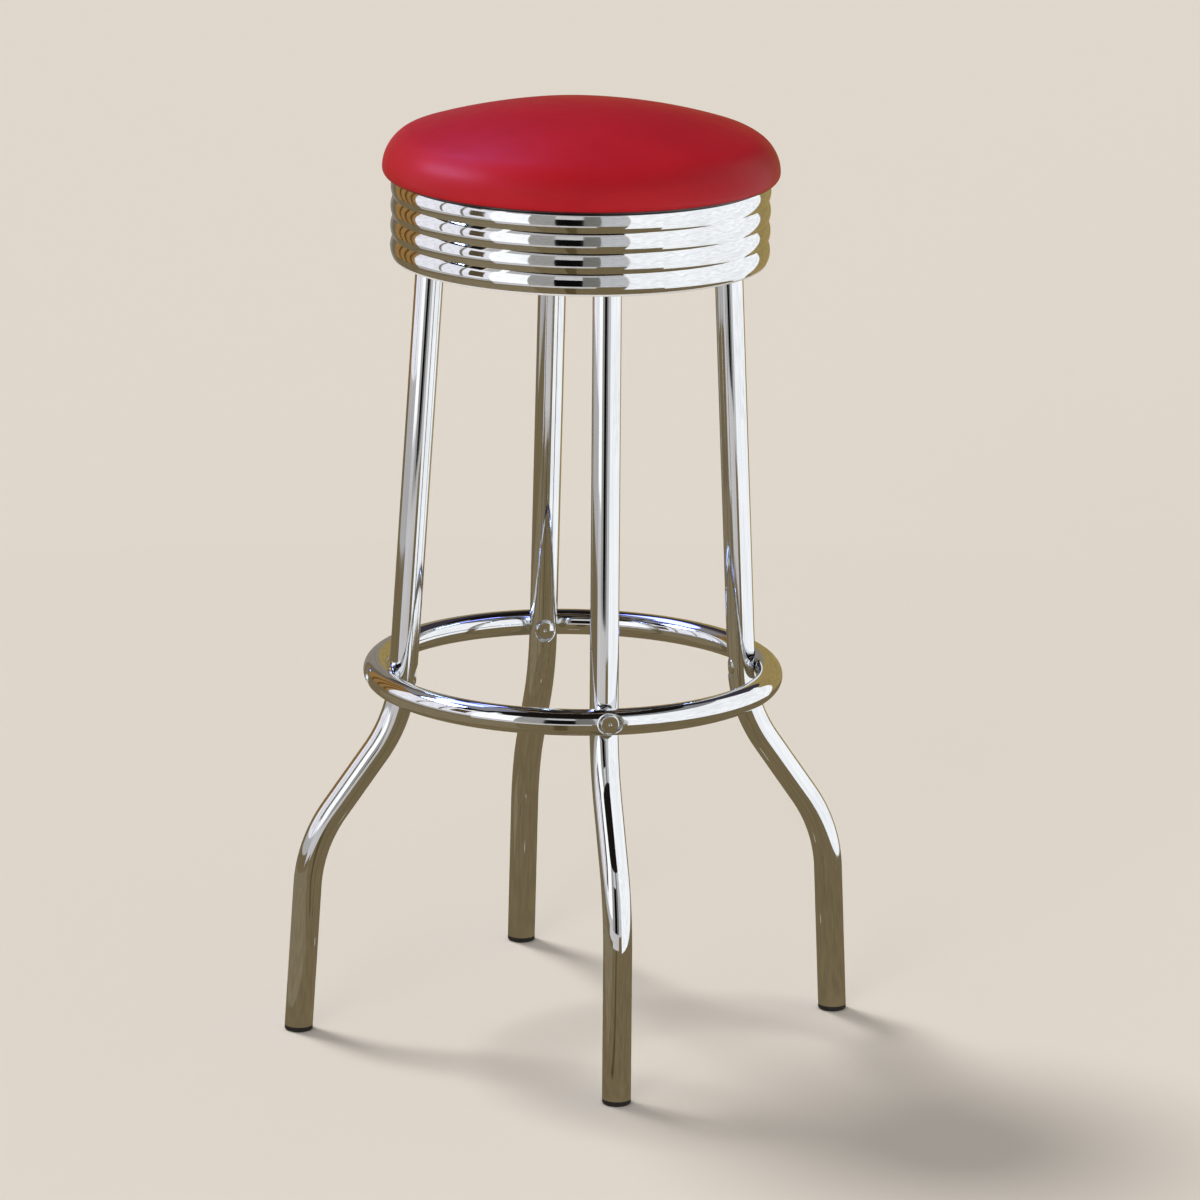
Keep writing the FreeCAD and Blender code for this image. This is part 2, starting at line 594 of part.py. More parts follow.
def make_band():
    """Ribs one above the other, a flange turned in under the board and a beaded lower rim."""
    body = doc.addObject("PartDesign::Body", "Band")
    rib = revolve(body, outline(sketch_on(body), [
        ("valleyRadius", "bandBottom"),
        ("valleyRadius", "lowRibTop", "ribArc"),
        ("valleyIn", "lowRibTop"),
        ("valleyIn", "bandBottom", "-ribArcIn"),
    ]))
    ribs = body.newObject("PartDesign::LinearPattern", "Ribs")
    ribs.Originals = [rib]
    ribs.Direction = (origin_part(body, "Z_Axis"), [""])
    bind(ribs, Length="ribRun", Occurrences="ribCount")
    body.Tip = ribs
    revolve(body, outline(sketch_on(body), [
        ("flangeIn", "flangeBottom"),
        ("flangeOut", "flangeBottom"),
        ("flangeOut", "coverBottom"),
        ("flangeIn", "coverBottom"),
    ]))
    bead = circle_on(sketch_on(body, x="rimAxis", y="bandBottom"), "rimRadius")
    revolve(body, bead, axis=(origin_part(body, "Z_Axis"), [""]))
    holes_around(body, "screwHole", "bandScrewCircle", "bandScrewCount")
    return body


# Swivel

def corner_plate(body, bottom, thickness, hole):
    """Square sheet with rounded corners and a round hole in the middle."""
    sheet = sketch_on(body, "XY_Plane", lift=bottom)
    square_on(sheet, "plateWidth")
    circle_on(sheet, hole)
    plate = pad(body, sheet, thickness)
    doc.recompute()
    upright = [
        f"Edge{i}" for i, edge in enumerate(plate.Shape.Edges, start=1)
        if isinstance(edge.Curve, Part.Line) and abs(edge.Curve.Direction.z) > 0.9
        and Vector(edge.CenterOfMass.x, edge.CenterOfMass.y, 0).Length > size("plateWidth") / 2
    ]
    rounding = body.newObject("PartDesign::Fillet", "Corners")
    rounding.Base = (plate, upright)
    bind(rounding, Radius="plateCorner")
    return rounding


def make_swivel_plate(name, bottom, race_low, race_high, race_bore, bore, corner_hole):
    """Corner plate with a ball race standing off it."""
    body = doc.addObject("PartDesign::Body", name)
    corner_plate(body, bottom, "plateThickness", bore)
    revolve(body, outline(sketch_on(body), [
        ("raceIn", race_low), ("raceOut", race_low), ("raceOut", race_high), ("raceIn", race_high),
    ]))
    channel = circle_on(sketch_on(body, x="raceRadius", y="ballHeight"), race_bore)
    revolve(body, channel, axis=(origin_part(body, "Z_Axis"), [""]), kind="Groove")
    holes_around(body, corner_hole, "plateHoleRadius", "cornerCount", turn=45)
    return body


def make_balls():
    body = doc.addObject("PartDesign::Body", "Balls")
    ball = body.newObject("PartDesign::AdditiveSphere", "Ball")
    attach(ball, body, "XY_Plane", x="raceRadius", lift="ballHeight")
    bind(ball, Radius="ballRadius")
    around(body, [ball], "ballCount")
    return body


def make_retainer():
    body = turned("Retainer", [
        ("raceIn", "lowerRace"), ("raceOut", "lowerRace"),
        ("raceOut", "retainerTop"), ("raceIn", "retainerTop"),
    ])
    holes_around(body, "retainerBore", "raceRadius", "ballCount")
    return body


def make_pin():
    """Lower head, shank through both plates, upper end peened over the washer."""
    return turned("Pin", [
        (0, "pinHeadBottom"),
        ("pinHeadRadius", "pinHeadBottom"),
        ("pinHeadRadius", "lowerBottom"),
        ("pinRadius", "lowerBottom"),
        ("pinRadius", "washerTop"),
        ("pinPeenRadius", "washerTop"),
        ("pinPeenFlat", "pinTop", "pinPeenDepth"),
        (0, "pinTop"),
    ])


def make_washer():
    return turned("Washer", [
        ("pinBoreFixed", "washerBottom"), ("washerRadius", "washerBottom"),
        ("washerRadius", "washerTop"), ("pinBoreFixed", "washerTop"),
    ])


# Frame under the swivel

def bolt_outline(sketch, length):
    """Shank down from the head's seat at the sketch's origin, cheese head above it."""
    return outline(sketch, [
        (0, f"-{length}"),
        ("frameBoltRadius", f"-{length}"),
        ("frameBoltRadius", 0),
        ("frameHeadRadius", 0),
        ("frameHeadRadius", "frameHeadEdge"),
        ("frameHeadFlat", "frameHeadDepth", "frameHeadRadius"),
        (0, "frameHeadDepth"),
    ])


def make_mounting_plate():
    """Corner plate whose four arms turn down into ears, each lying along its leg."""
    body = doc.addObject("PartDesign::Body", "Mount")
    corner_plate(body, "mountBottom", "mountThickness", "mountHole")
    ear = outline(sketch_on(body), [
        ("armStart", "mountBottom"),
        ("earInnerHigh", "mountBottom"),
        ("earInnerLow", "earBottom"),
        ("earOuterLow", "earBottom"),
        ("earOuterHigh", "lowerBottom"),
        ("armStart", "lowerBottom"),
    ])
    around(body, [pad(body, ear, "earWidth", midplane=True)], "legCount")
    holes_around(body, "frameHole", "plateHoleRadius", "cornerCount", turn=45)
    for x, z in (("legHighX", "legHighZ"), ("legLowX", "legLowZ")):
        hole = outline(sketch_on(body, x=x, y=z, turn="legBoltTurn"), [
            (0, "-legTube"), ("frameHole", "-legTube"), ("frameHole", 0), (0, 0),
        ])
        around(body, [revolve(body, hole, kind="Groove")], "legCount")
    return body


def make_swivel_bolts():
    body = doc.addObject("PartDesign::Body", "SwivelBolts")
    profile = bolt_outline(sketch_on(body, x="plateHoleRadius", y="lowerTop"), "swivelBoltLength")
    around(body, [revolve(body, profile)], "cornerCount")
    return turn_about_z(body, 45)


def hexagon_nut(body, x, height, tilt):
    """Nut standing on (x, height), its axis tilted about Y."""
    flats = sketch_on(body, "XY_Plane", x=x, lift=height, turn=tilt, axis=Vector(0, 1, 0))
    return pad(body, circle_on(hexagon_on(flats, "nutRadius"), "nutBore"), "nutDepth")


def make_swivel_nuts():
    body = doc.addObject("PartDesign::Body", "SwivelNuts")
    around(body, [hexagon_nut(body, "plateHoleRadius", "swivelNutBottom", 0)], "cornerCount")
    return turn_about_z(body, 45)


def make_leg_bolts():
    """Two through each leg and its ear, heads outside."""
    body = doc.addObject("PartDesign::Body", "LegBolts")
    bolts = []
    for x, z in (("legHighHeadX", "legHighHeadZ"), ("legLowHeadX", "legLowHeadZ")):
        profile = bolt_outline(sketch_on(body, x=x, y=z, turn="legBoltTurn"), "legBoltLength")
        bolts.append(revolve(body, profile))
    around(body, bolts, "legCount")
    return body


def make_leg_nuts():
    body = doc.addObject("PartDesign::Body", "LegNuts")
    for x, z in (("legHighNutX", "legHighNutZ"), ("legLowNutX", "legLowNutZ")):
        around(body, [hexagon_nut(body, x, z, "legNutTilt")], "legCount")
    return body


# Legs and foot ring

def make_rod(name, radius):
    """Solid rod along the leg's bent centre line, its end level with the floor."""
    body = doc.addObject("PartDesign::Body", name)
    path = bent_path(sketch_on(body), [
        ("footCentre", "glideHeight"),
        ("kneeLowRadius", "kneeLowHeight"),
        ("kneeHighRadius", "kneeHighHeight"),
        ("legTopRadius", "legTop"),
    ], "bendRadius")
    rod = body.newObject("PartDesign::AdditivePipe", "Rod")
    rod.Profile = circle_on(sketch_on(body, "XY_Plane", x="footCentre", lift="glideHeight"), radius)
    rod.Spine = path
    return body


def make_leg_dish(name, corners):
    body = doc.addObject("PartDesign::Body", name)
    revolve(body, outline(sketch_on(body, x="legSeat", y="ringHeight", turn=outward), corners))
    return body


def make_leg(name, angle):
    """Tube pressed in behind the ring and dished round the nut, with its bolt holes."""
    dish_back = make_leg_dish(f"{name}DishBack", [
        (0, "-legDishReach"),
        ("legFillMouth", "-legDishReach"),
        ("dishFillRadius", "tubeWall"),
        (0, "tubeWall"),
    ])
    dish = make_leg_dish(f"{name}Dish", [
        (0, "-legDishReach"),
        ("legDishMouth", "-legDishReach"),
        ("dishRadius", 0),
        ("sleeveHole", 0),
        ("sleeveHole", "sleeveHoleReach"),
        ("ringBoltHole", "sleeveHoleReach"),
        ("ringBoltHole", "legHoleReach"),
        (0, "legHoleReach"),
    ])
    holes = doc.addObject("PartDesign::Body", f"{name}Holes")
    for x, z in (("legHighX", "legHighZ"), ("legLowX", "legLowZ")):
        revolve(holes, outline(sketch_on(holes, x=x, y=z, turn="legBoltTurn"), [
            (0, "-legTube"), ("frameHole", "-legTube"), ("frameHole", "legTube"), (0, "legTube"),
        ]))
    saddle_back = torus(f"{name}SaddleBack", "saddleAxis", "saddleFill", "ringHeight", 180)
    saddle = torus(f"{name}Saddle", "saddleAxis", "saddleRadius", "ringHeight", 180)
    bore = cut(f"{name}Bore", make_rod(f"{name}Inner", "legBore"), saddle_back, dish_back)
    leg = cut(name, make_rod(f"{name}Outer", "legOuter"), bore, saddle, dish, holes)
    return turn_about_z(leg, angle)


def make_glide(name, angle):
    """Plain sole under the tube and a plug that leans with the bore."""
    body = doc.addObject("PartDesign::Body", name)
    revolve(body, outline(sketch_on(body, x="footCentre"), [
        (0, 0),
        ("soleRadius", 0),
        ("legOuter", "glideBevel"),
        ("legOuter", "glideHeight"),
        (0, "glideHeight"),
    ]))
    plug = circle_on(sketch_on(body, "XY_Plane", x="footCentre", lift="glideHeight"), "plugRadius")
    stem = pad(body, plug, "glidePlug")
    stem.UseCustomVector = True
    stem.Direction = Vector(-size("leanRate"), 0, 1)
    bind(stem, Direction__x="-leanRate")
    stem.AlongSketchNormal = True
    return turn_about_z(body, angle)


def make_ring_dishes(name, corners):
    body = doc.addObject("PartDesign::Body", name)
    profile = outline(sketch_on(body, x="ringSeat", y="ringHeight", turn=outward), corners)
    around(body, [revolve(body, profile)], "legCount")
    return body


def make_ring():
    """Closed tube with a pressed dish and a through hole at each leg."""
    dish_backs = make_ring_dishes("RingDishBacks", [
        (0, "-tubeWall"),
        ("dishFillRadius", "-tubeWall"),
        ("ringFillMouth", "ringDishReach"),
        (0, "ringDishReach"),
    ])
    dishes = make_ring_dishes("RingDishes", [
        (0, "-ringTube"),
        ("ringBoltHole", "-ringTube"),
        ("ringBoltHole", 0),
        ("dishRadius", 0),
        ("ringDishMouth", "ringDishReach"),
        (0, "ringDishReach"),
    ])
    bore = cut("RingBore", torus("RingInner", "ringRadius", "ringBore", "ringHeight", 45), dish_backs)
    return cut("Ring", torus("RingOuter", "ringRadius", "ringOuter", "ringHeight", 45), bore, dishes)


def make_ring_bolts():
    """Domed head with a hollow in the middle, shank inward through ring and leg."""
    body = doc.addObject("PartDesign::Body", "RingBolts")
    profile = outline(sketch_on(body, x="ringSeat", y="ringHeight", turn=outward), [
        (0, "-boltReach"),
        ("ringBoltRadius", "-boltReach"),
        ("ringBoltRadius", 0),
        ("headRadius", 0),
        ("headRadius", "headRim"),
        ("headHollow", "headDome", "headDomeRadius"),
        ("hollowSmall", "hollowFloor"),
        (0, "hollowFloor"),
    ])
    around(body, [revolve(body, profile)], "legCount")
    return body


def make_ring_nuts():
    """The same head on a blind sleeve that takes the bolt."""
    body = doc.addObject("PartDesign::Body", "RingNuts")
    profile = outline(sketch_on(body, x="legSeat", y="ringHeight", turn=inward), [
        ("sleeveBore", "-sleeveLength"),
        ("sleeveRadius", "-sleeveLength"),
        ("sleeveRadius", 0),
        ("headRadius", 0),
        ("headRadius", "headRim"),
        ("headHollow", "headDome", "headDomeRadius"),
        ("hollowSmall", "hollowFloor"),
        (0, "hollowFloor"),
        (0, 0),
        ("sleeveBore", 0),
    ])
    around(body, [revolve(body, profile)], "legCount")
    return body


# A sketch turned by these has its upright axis outward or inward.
outward, inward = -90, 90
sides = {"right": 0, "back": 90, "left": 180, "front": 270}

staples = make_staples()
band_screws = make_screws("BandScrews", "bandScrewCircle", "bandScrewBottom", "bandScrewCount", 0)
swivel_screws = make_screws("SwivelScrews", "plateHoleRadius", "swivelScrewBottom", "cornerCount", 45)

parts = {
    "seat_cover": cut("SeatCover", make_cover(), staples, band_screws),
    "foam_pad": make_foam(),
    "seat_board": cut("SeatBoard", make_board(), staples, band_screws, swivel_screws),
    "cover_staples": staples,
    "seat_band": make_band(),
    "band_screws": band_screws,
    "upper_swivel_plate": make_swivel_plate(
        "UpperPlate", "upperBottom", "upperRace", "upperBottom",
        "upperRaceBore", "pinBoreTurning", "screwHole"),
    "swivel_screws": swivel_screws,
    "lower_swivel_plate": make_swivel_plate(
        "LowerPlate", "lowerBottom", "lowerTop", "lowerRace",
        "lowerRaceBore", "pinBoreFixed", "frameHole"),
    "bearing_balls": make_balls(),
    "ball_retainer": make_retainer(),
    "swivel_pin": make_pin(),
    "pin_washer": make_washer(),
    "mounting_plate": make_mounting_plate(),
    "swivel_bolts": make_swivel_bolts(),
    "swivel_nuts": make_swivel_nuts(),
    "leg_bolts": make_leg_bolts(),
    "leg_nuts": make_leg_nuts(),
    "foot_ring": make_ring(),
    "ring_bolts": make_ring_bolts(),
    "ring_nuts": make_ring_nuts(),
}
for side, angle in sides.items():
    parts[f"leg_{side}"] = make_leg(f"Leg{side.title()}", angle)
    parts[f"glide_{side}"] = make_glide(f"Glide{side.title()}", angle)

doc.recompute()
for item in doc.Objects:
    if "Invalid" in item.State or "Error" in item.State:
        raise RuntimeError(f"{item.Label} didn't build: {item.State}")

os.makedirs("parts", exist_ok=True)
for label, feature in parts.items():
    feature.Label = label
    shape = feature.Shape
    if shape.isNull() or not shape.isValid():
        raise RuntimeError(f"{label} has no valid shape")
    print(f"{label:20} {len(shape.Solids):3} solids {shape.Volume / 1000:9.2f} cm3")
    shape.exportStep(f"parts/{label}.step")
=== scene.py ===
import bpy
import json
import math
import bmesh
import numpy as np
from mathutils import Matrix, Vector
from mathutils.bvhtree import BVHTree


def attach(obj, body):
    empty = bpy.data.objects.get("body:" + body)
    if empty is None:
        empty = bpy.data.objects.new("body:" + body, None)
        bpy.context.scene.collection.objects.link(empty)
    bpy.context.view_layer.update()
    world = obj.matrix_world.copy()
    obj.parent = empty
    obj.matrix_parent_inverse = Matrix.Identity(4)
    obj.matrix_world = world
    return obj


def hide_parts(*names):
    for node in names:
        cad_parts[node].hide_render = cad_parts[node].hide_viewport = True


# Chrome diner stool: a vinyl cushion in a ribbed band turns on four bent tube legs with a foot ring.
# Sizes are in millimetres and degrees where no note says metres, and meshes are made in metres.
mm = 0.001
tau = 2 * math.pi

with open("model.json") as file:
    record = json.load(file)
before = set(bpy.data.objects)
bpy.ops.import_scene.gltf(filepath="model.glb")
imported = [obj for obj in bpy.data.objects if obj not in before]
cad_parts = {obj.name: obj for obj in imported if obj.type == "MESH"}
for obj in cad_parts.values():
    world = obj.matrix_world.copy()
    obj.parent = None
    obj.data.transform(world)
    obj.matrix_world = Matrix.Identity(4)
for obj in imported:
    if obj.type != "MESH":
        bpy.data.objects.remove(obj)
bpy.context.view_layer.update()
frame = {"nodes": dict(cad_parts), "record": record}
nodes = frame["nodes"]
scene = bpy.context.scene
print("frame loaded:", len(nodes), "nodes")


# Materials

# most of a noise texture's values lie between these, so a finish's range is spread over them
noiseLow = 0.3
noiseHigh = 0.7


def toLinear(colour):
    # sRGB hex to linear red, green, blue and alpha
    parts = [int(colour[i:i + 2], 16) / 255 for i in (1, 3, 5)]
    return [c / 12.92 if c <= 0.04045 else ((c + 0.055) / 1.055) ** 2.4 for c in parts] + [1.0]


def scaleOf(size):
    # a texture's scale for a pattern this many millimetres across
    return 1 / (size * mm)


def addNode(tree, kind, inputs=None, **settings):
    # an input is a value, a socket, or a node whose first output is used; by number, a Map Range takes
    # 0 value, 1 and 2 from, 3 and 4 to, and a colour Mix takes 0 share, 6 and 7 colours
    node = tree.nodes.new(kind)
    for name, value in settings.items():
        setattr(node, name, value)
    for key, value in (inputs or {}).items():
        if isinstance(value, bpy.types.Node):
            value = value.outputs[0]
        if isinstance(value, bpy.types.NodeSocket):
            tree.links.new(value, node.inputs[key])
        else:
            node.inputs[key].default_value = value
    return node


def startMaterial(name):
    # an empty material and the piece's own coordinates, in metres
    material = bpy.data.materials.new(name)
    material.use_nodes = True
    tree = material.node_tree
    tree.nodes.clear()
    return material, tree, addNode(tree, "ShaderNodeTexCoord").outputs["Object"]


def endMaterial(tree, sockets):
    surface = addNode(tree, "ShaderNodeBsdfPrincipled", sockets)
    addNode(tree, "ShaderNodeOutputMaterial", {"Surface": surface})


chrome = {
    "light": "#E9ECEE", "dark": "#DADDE0",
    "smudge": 45,           # size of the finger smudges
    "smudgeLow": 0.35,      # noise level where a smudge starts
    "clean": 0.035,         # roughness
    "smeared": 0.085,
    "ripple": 40, "rippleDepth": 0.012,
}


def chromePlate():
    # bright chrome over buffed steel tube: a mirror with the tube's faint ripple and finger smudges
    material, tree, place = startMaterial("chromePlate")
    smudge = addNode(tree, "ShaderNodeTexNoise",
                     {"Vector": place, "Scale": scaleOf(chrome["smudge"]), "Detail": 4})
    rough = addNode(tree, "ShaderNodeMapRange", {0: smudge, 1: chrome["smudgeLow"], 2: noiseHigh,
                                                 3: chrome["clean"], 4: chrome["smeared"]})
    tint = addNode(tree, "ShaderNodeMix",
                   {0: smudge, 6: toLinear(chrome["light"]), 7: toLinear(chrome["dark"])},
                   data_type="RGBA")
    ripple = addNode(tree, "ShaderNodeTexNoise",
                     {"Vector": place, "Scale": scaleOf(chrome["ripple"]), "Detail": 1})
    relief = addNode(tree, "ShaderNodeBump", {"Height": ripple, "Distance": chrome["rippleDepth"] * mm})
    endMaterial(tree, {"Base Color": tint.outputs[2], "Metallic": 1.0, "Roughness": rough, "Normal": relief})
    return material


vinyl = {
    "light": "#BD1A26", "dark": "#AB1420", "cloud": 70,
    "gloss": 0.36,          # roughness
    "dull": 0.44,
    "patch": 20,            # size of the dull patches
    "grain": 1.1, "grainDepth": 0.03,
    "ior": 1.53,
    "sheen": 0.14,          # specular level
    "seam": "#240609",      # painted shade under the cushion's edge, full up to the low level and gone at the high one
    "seamLow": 680.9, "seamHigh": 682.5,
}


def redVinyl():
    # calendered PVC on a knit, stretched over foam: satin cherry red with a fine leather grain,
    # drawn about twice as coarse as the real 0.5 mm so that it shows, and painted shade along the bottom
    # seam
    material, tree, place = startMaterial("redVinyl")
    cloud = addNode(tree, "ShaderNodeTexNoise",
                    {"Vector": place, "Scale": scaleOf(vinyl["cloud"]), "Detail": 3})
    tint = addNode(tree, "ShaderNodeMix",
                   {0: cloud, 6: toLinear(vinyl["dark"]), 7: toLinear(vinyl["light"])},
                   data_type="RGBA")
    patch = addNode(tree, "ShaderNodeTexNoise",
                    {"Vector": place, "Scale": scaleOf(vinyl["patch"]), "Detail": 4})
    rough = addNode(tree, "ShaderNodeMapRange",
                    {0: patch, 1: noiseLow, 2: noiseHigh, 3: vinyl["gloss"], 4: vinyl["dull"]})
    grain = addNode(tree, "ShaderNodeTexVoronoi", {"Vector": place, "Scale": scaleOf(vinyl["grain"])},
                    feature="SMOOTH_F1")
    relief = addNode(tree, "ShaderNodeBump", {"Height": grain, "Distance": vinyl["grainDepth"] * mm})
    # painted shade: the red darkens to near black over the bottom few millimetres, where the cushion's edge
    # meets the band
    level = addNode(tree, "ShaderNodeSeparateXYZ", {0: place}).outputs["Z"]
    clean = addNode(tree, "ShaderNodeMapRange",
                    {0: level, 1: vinyl["seamLow"] * mm, 2: vinyl["seamHigh"] * mm})
    shadedRed = addNode(tree, "ShaderNodeMix",
                    {0: clean, 6: toLinear(vinyl["seam"]), 7: tint.outputs[2]}, data_type="RGBA")
    endMaterial(tree, {"Base Color": shadedRed.outputs[2], "Roughness": rough, "Normal": relief,
                       "IOR": vinyl["ior"], "Specular IOR Level": vinyl["sheen"]})
    return material


wood = {
    "light": "#DCC193", "dark": "#B38C5A", "grain": 9,
    "stretch": 0.06,        # scale along the grain, where it is 1 across
    "fibre": 2, "fibreDepth": 0.08,
    "smooth": 0.65,         # roughness
    "rough": 0.85,
    "ior": 1.5,
}


def rawPlywood():
    # rotary-cut birch plywood, sawn round and left raw: soft long grain with darker streaks
    material, tree, place = startMaterial("rawPlywood")
    along = addNode(tree, "ShaderNodeMapping", {"Vector": place, "Scale": (1, wood["stretch"], 1)})
    grain = addNode(tree, "ShaderNodeTexNoise",
                    {"Vector": along, "Scale": scaleOf(wood["grain"]), "Detail": 5})
    tint = addNode(tree, "ShaderNodeMix", {0: grain, 6: toLinear(wood["dark"]), 7: toLinear(wood["light"])},
                   data_type="RGBA")
    fibre = addNode(tree, "ShaderNodeTexNoise",
                    {"Vector": along, "Scale": scaleOf(wood["fibre"]), "Detail": 3})
    relief = addNode(tree, "ShaderNodeBump", {"Height": fibre, "Distance": wood["fibreDepth"] * mm})
    rough = addNode(tree, "ShaderNodeMapRange", {0: fibre, 3: wood["smooth"], 4: wood["rough"]})
    endMaterial(tree, {"Base Color": tint.outputs[2], "Roughness": rough, "Normal": relief,
                       "IOR": wood["ior"]})
    return material


zinc = {
    "blue": "#A6ADB6", "straw": "#C6C2B2", "cloud": 14,
    "bright": 0.28,         # roughness
    "dull": 0.45,
    "spangle": 5,           # size of the dull patches
    "grit": 1.2, "gritDepth": 0.01,
}


def zincPlate():
    # zinc-plated pressed steel: grey, clouded bluish and straw by its passivation
    material, tree, place = startMaterial("zincPlate")
    cloud = addNode(tree, "ShaderNodeTexNoise",
                    {"Vector": place, "Scale": scaleOf(zinc["cloud"]), "Detail": 4})
    tint = addNode(tree, "ShaderNodeMix", {0: cloud, 6: toLinear(zinc["blue"]), 7: toLinear(zinc["straw"])},
                   data_type="RGBA")
    spangle = addNode(tree, "ShaderNodeTexNoise",
                      {"Vector": place, "Scale": scaleOf(zinc["spangle"]), "Detail": 3})
    rough = addNode(tree, "ShaderNodeMapRange",
                    {0: spangle, 1: noiseLow, 2: noiseHigh, 3: zinc["bright"], 4: zinc["dull"]})
    grit = addNode(tree, "ShaderNodeTexNoise", {"Vector": place, "Scale": scaleOf(zinc["grit"])})
    relief = addNode(tree, "ShaderNodeBump", {"Height": grit, "Distance": zinc["gritDepth"] * mm})
    endMaterial(tree, {"Base Color": tint.outputs[2], "Metallic": 1.0, "Roughness": rough, "Normal": relief})
    return material


wire = {
    "light": "#BABCBE", "dark": "#9A9C9E", "mottle": 2,
    "bright": 0.3,          # roughness
    "dull": 0.5,
}


def stapleWire():
    # galvanised wire: dull light grey, mottled where it was drawn
    material, tree, place = startMaterial("stapleWire")
    mottle = addNode(tree, "ShaderNodeTexNoise",
                     {"Vector": place, "Scale": scaleOf(wire["mottle"]), "Detail": 3})
    tint = addNode(tree, "ShaderNodeMix",
                   {0: mottle, 6: toLinear(wire["dark"]), 7: toLinear(wire["light"])},
                   data_type="RGBA")
    rough = addNode(tree, "ShaderNodeMapRange", {0: mottle, 3: wire["bright"], 4: wire["dull"]})
    endMaterial(tree, {"Base Color": tint.outputs[2], "Metallic": 1.0, "Roughness": rough})
    return material


ball = {
    "steel": "#CCCDCE", "grease": "#A69F8A", "film": 3,
    "bright": 0.08,         # roughness
    "dull": 0.3,
}


def ballSteel():
    # hardened, lapped steel under a film of grease
    material, tree, place = startMaterial("ballSteel")
    film = addNode(tree, "ShaderNodeTexNoise",
                   {"Vector": place, "Scale": scaleOf(ball["film"]), "Detail": 3})
    tint = addNode(tree, "ShaderNodeMix",
                   {0: film, 6: toLinear(ball["steel"]), 7: toLinear(ball["grease"])},
                   data_type="RGBA")
    rough = addNode(tree, "ShaderNodeMapRange", {0: film, 3: ball["bright"], 4: ball["dull"]})
    endMaterial(tree, {"Base Color": tint.outputs[2], "Metallic": 1.0, "Roughness": rough})
    return material


powder = {
    "light": "#1E1F21", "dark": "#131415", "cloud": 12,
    "gloss": 0.36,          # roughness
    "dull": 0.5,
    "peel": 1.5, "peelDepth": 0.03,
    "ior": 1.5,
}


def powderCoat():
    # black polyester powder baked on plate: satin with a fine orange peel
    material, tree, place = startMaterial("powderCoat")
    cloud = addNode(tree, "ShaderNodeTexNoise",
                    {"Vector": place, "Scale": scaleOf(powder["cloud"]), "Detail": 3})
    tint = addNode(tree, "ShaderNodeMix",
                   {0: cloud, 6: toLinear(powder["dark"]), 7: toLinear(powder["light"])},
                   data_type="RGBA")
    rough = addNode(tree, "ShaderNodeMapRange",
                    {0: cloud, 1: noiseLow, 2: noiseHigh, 3: powder["gloss"], 4: powder["dull"]})
    peel = addNode(tree, "ShaderNodeTexNoise", {"Vector": place, "Scale": scaleOf(powder["peel"])})
    relief = addNode(tree, "ShaderNodeBump", {"Height": peel, "Distance": powder["peelDepth"] * mm})
    endMaterial(tree, {"Base Color": tint.outputs[2], "Roughness": rough, "Normal": relief,
                       "IOR": powder["ior"]})
    return material


poly = {
    "light": "#262627", "dark": "#0E0E0F", "scuff": 4,
    "gloss": 0.4,           # roughness
    "dull": 0.62,
    "spark": 0.7, "sparkDepth": 0.03,
    "ior": 1.51,
}


def mouldedPolyethylene():
    # injection-moulded black polyethylene, spark-eroded matt and scuffed paler in use
    material, tree, place = startMaterial("mouldedPolyethylene")
    scuff = addNode(tree, "ShaderNodeTexNoise",
                    {"Vector": place, "Scale": scaleOf(poly["scuff"]), "Detail": 4})
    tint = addNode(tree, "ShaderNodeMix", {0: scuff, 6: toLinear(poly["dark"]), 7: toLinear(poly["light"])},
                   data_type="RGBA")
    rough = addNode(tree, "ShaderNodeMapRange",
                    {0: scuff, 1: noiseLow, 2: noiseHigh, 3: poly["gloss"], 4: poly["dull"]})
    spark = addNode(tree, "ShaderNodeTexNoise", {"Vector": place, "Scale": scaleOf(poly["spark"])})
    relief = addNode(tree, "ShaderNodeBump", {"Height": spark, "Distance": poly["sparkDepth"] * mm})
    endMaterial(tree, {"Base Color": tint.outputs[2], "Roughness": rough, "Normal": relief,
                       "IOR": poly["ior"]})
    return material


foam = {
    "light": "#EFE6CC", "dark": "#DCD0B0", "cloud": 30,
    "cell": 1.5, "cellDepth": 0.5,
    "smooth": 0.85,         # roughness
    "rough": 0.95,
    "ior": 1.45,
}


def upholsteryFoam():
    # open-cell polyurethane foam: cream, with cells too fine to show drawn twice as coarse
    material, tree, place = startMaterial("upholsteryFoam")
    cloud = addNode(tree, "ShaderNodeTexNoise", {"Vector": place, "Scale": scaleOf(foam["cloud"])})
    tint = addNode(tree, "ShaderNodeMix", {0: cloud, 6: toLinear(foam["dark"]), 7: toLinear(foam["light"])},
                   data_type="RGBA")
    cell = addNode(tree, "ShaderNodeTexVoronoi", {"Vector": place, "Scale": scaleOf(foam["cell"])})
    relief = addNode(tree, "ShaderNodeBump", {"Height": cell, "Distance": foam["cellDepth"] * mm})
    rough = addNode(tree, "ShaderNodeMapRange", {0: cloud, 3: foam["smooth"], 4: foam["rough"]})
    endMaterial(tree, {"Base Color": tint.outputs[2], "Roughness": rough, "Normal": relief,
                       "IOR": foam["ior"]})
    return material


finishes = {
    "chrome": chromePlate(),
    "red_vinyl": redVinyl(),
    "foam": upholsteryFoam(),
    "plywood": rawPlywood(),
    "zinc_steel": zincPlate(),
    "staple_steel": stapleWire(),
    "bearing_steel": ballSteel(),
    "black_steel": powderCoat(),
    "glide_black": mouldedPolyethylene(),
}
for part in frame["record"]["subparts"]:
    slots = nodes[part["node"]].data.materials
    slots.clear()
    slots.append(finishes[part["material_slot"]])
print("materials made:", len(finishes))


# Meshes

def linked(name, data):
    piece = bpy.data.objects.new(name, data)
    scene.collection.objects.link(piece)
    return piece


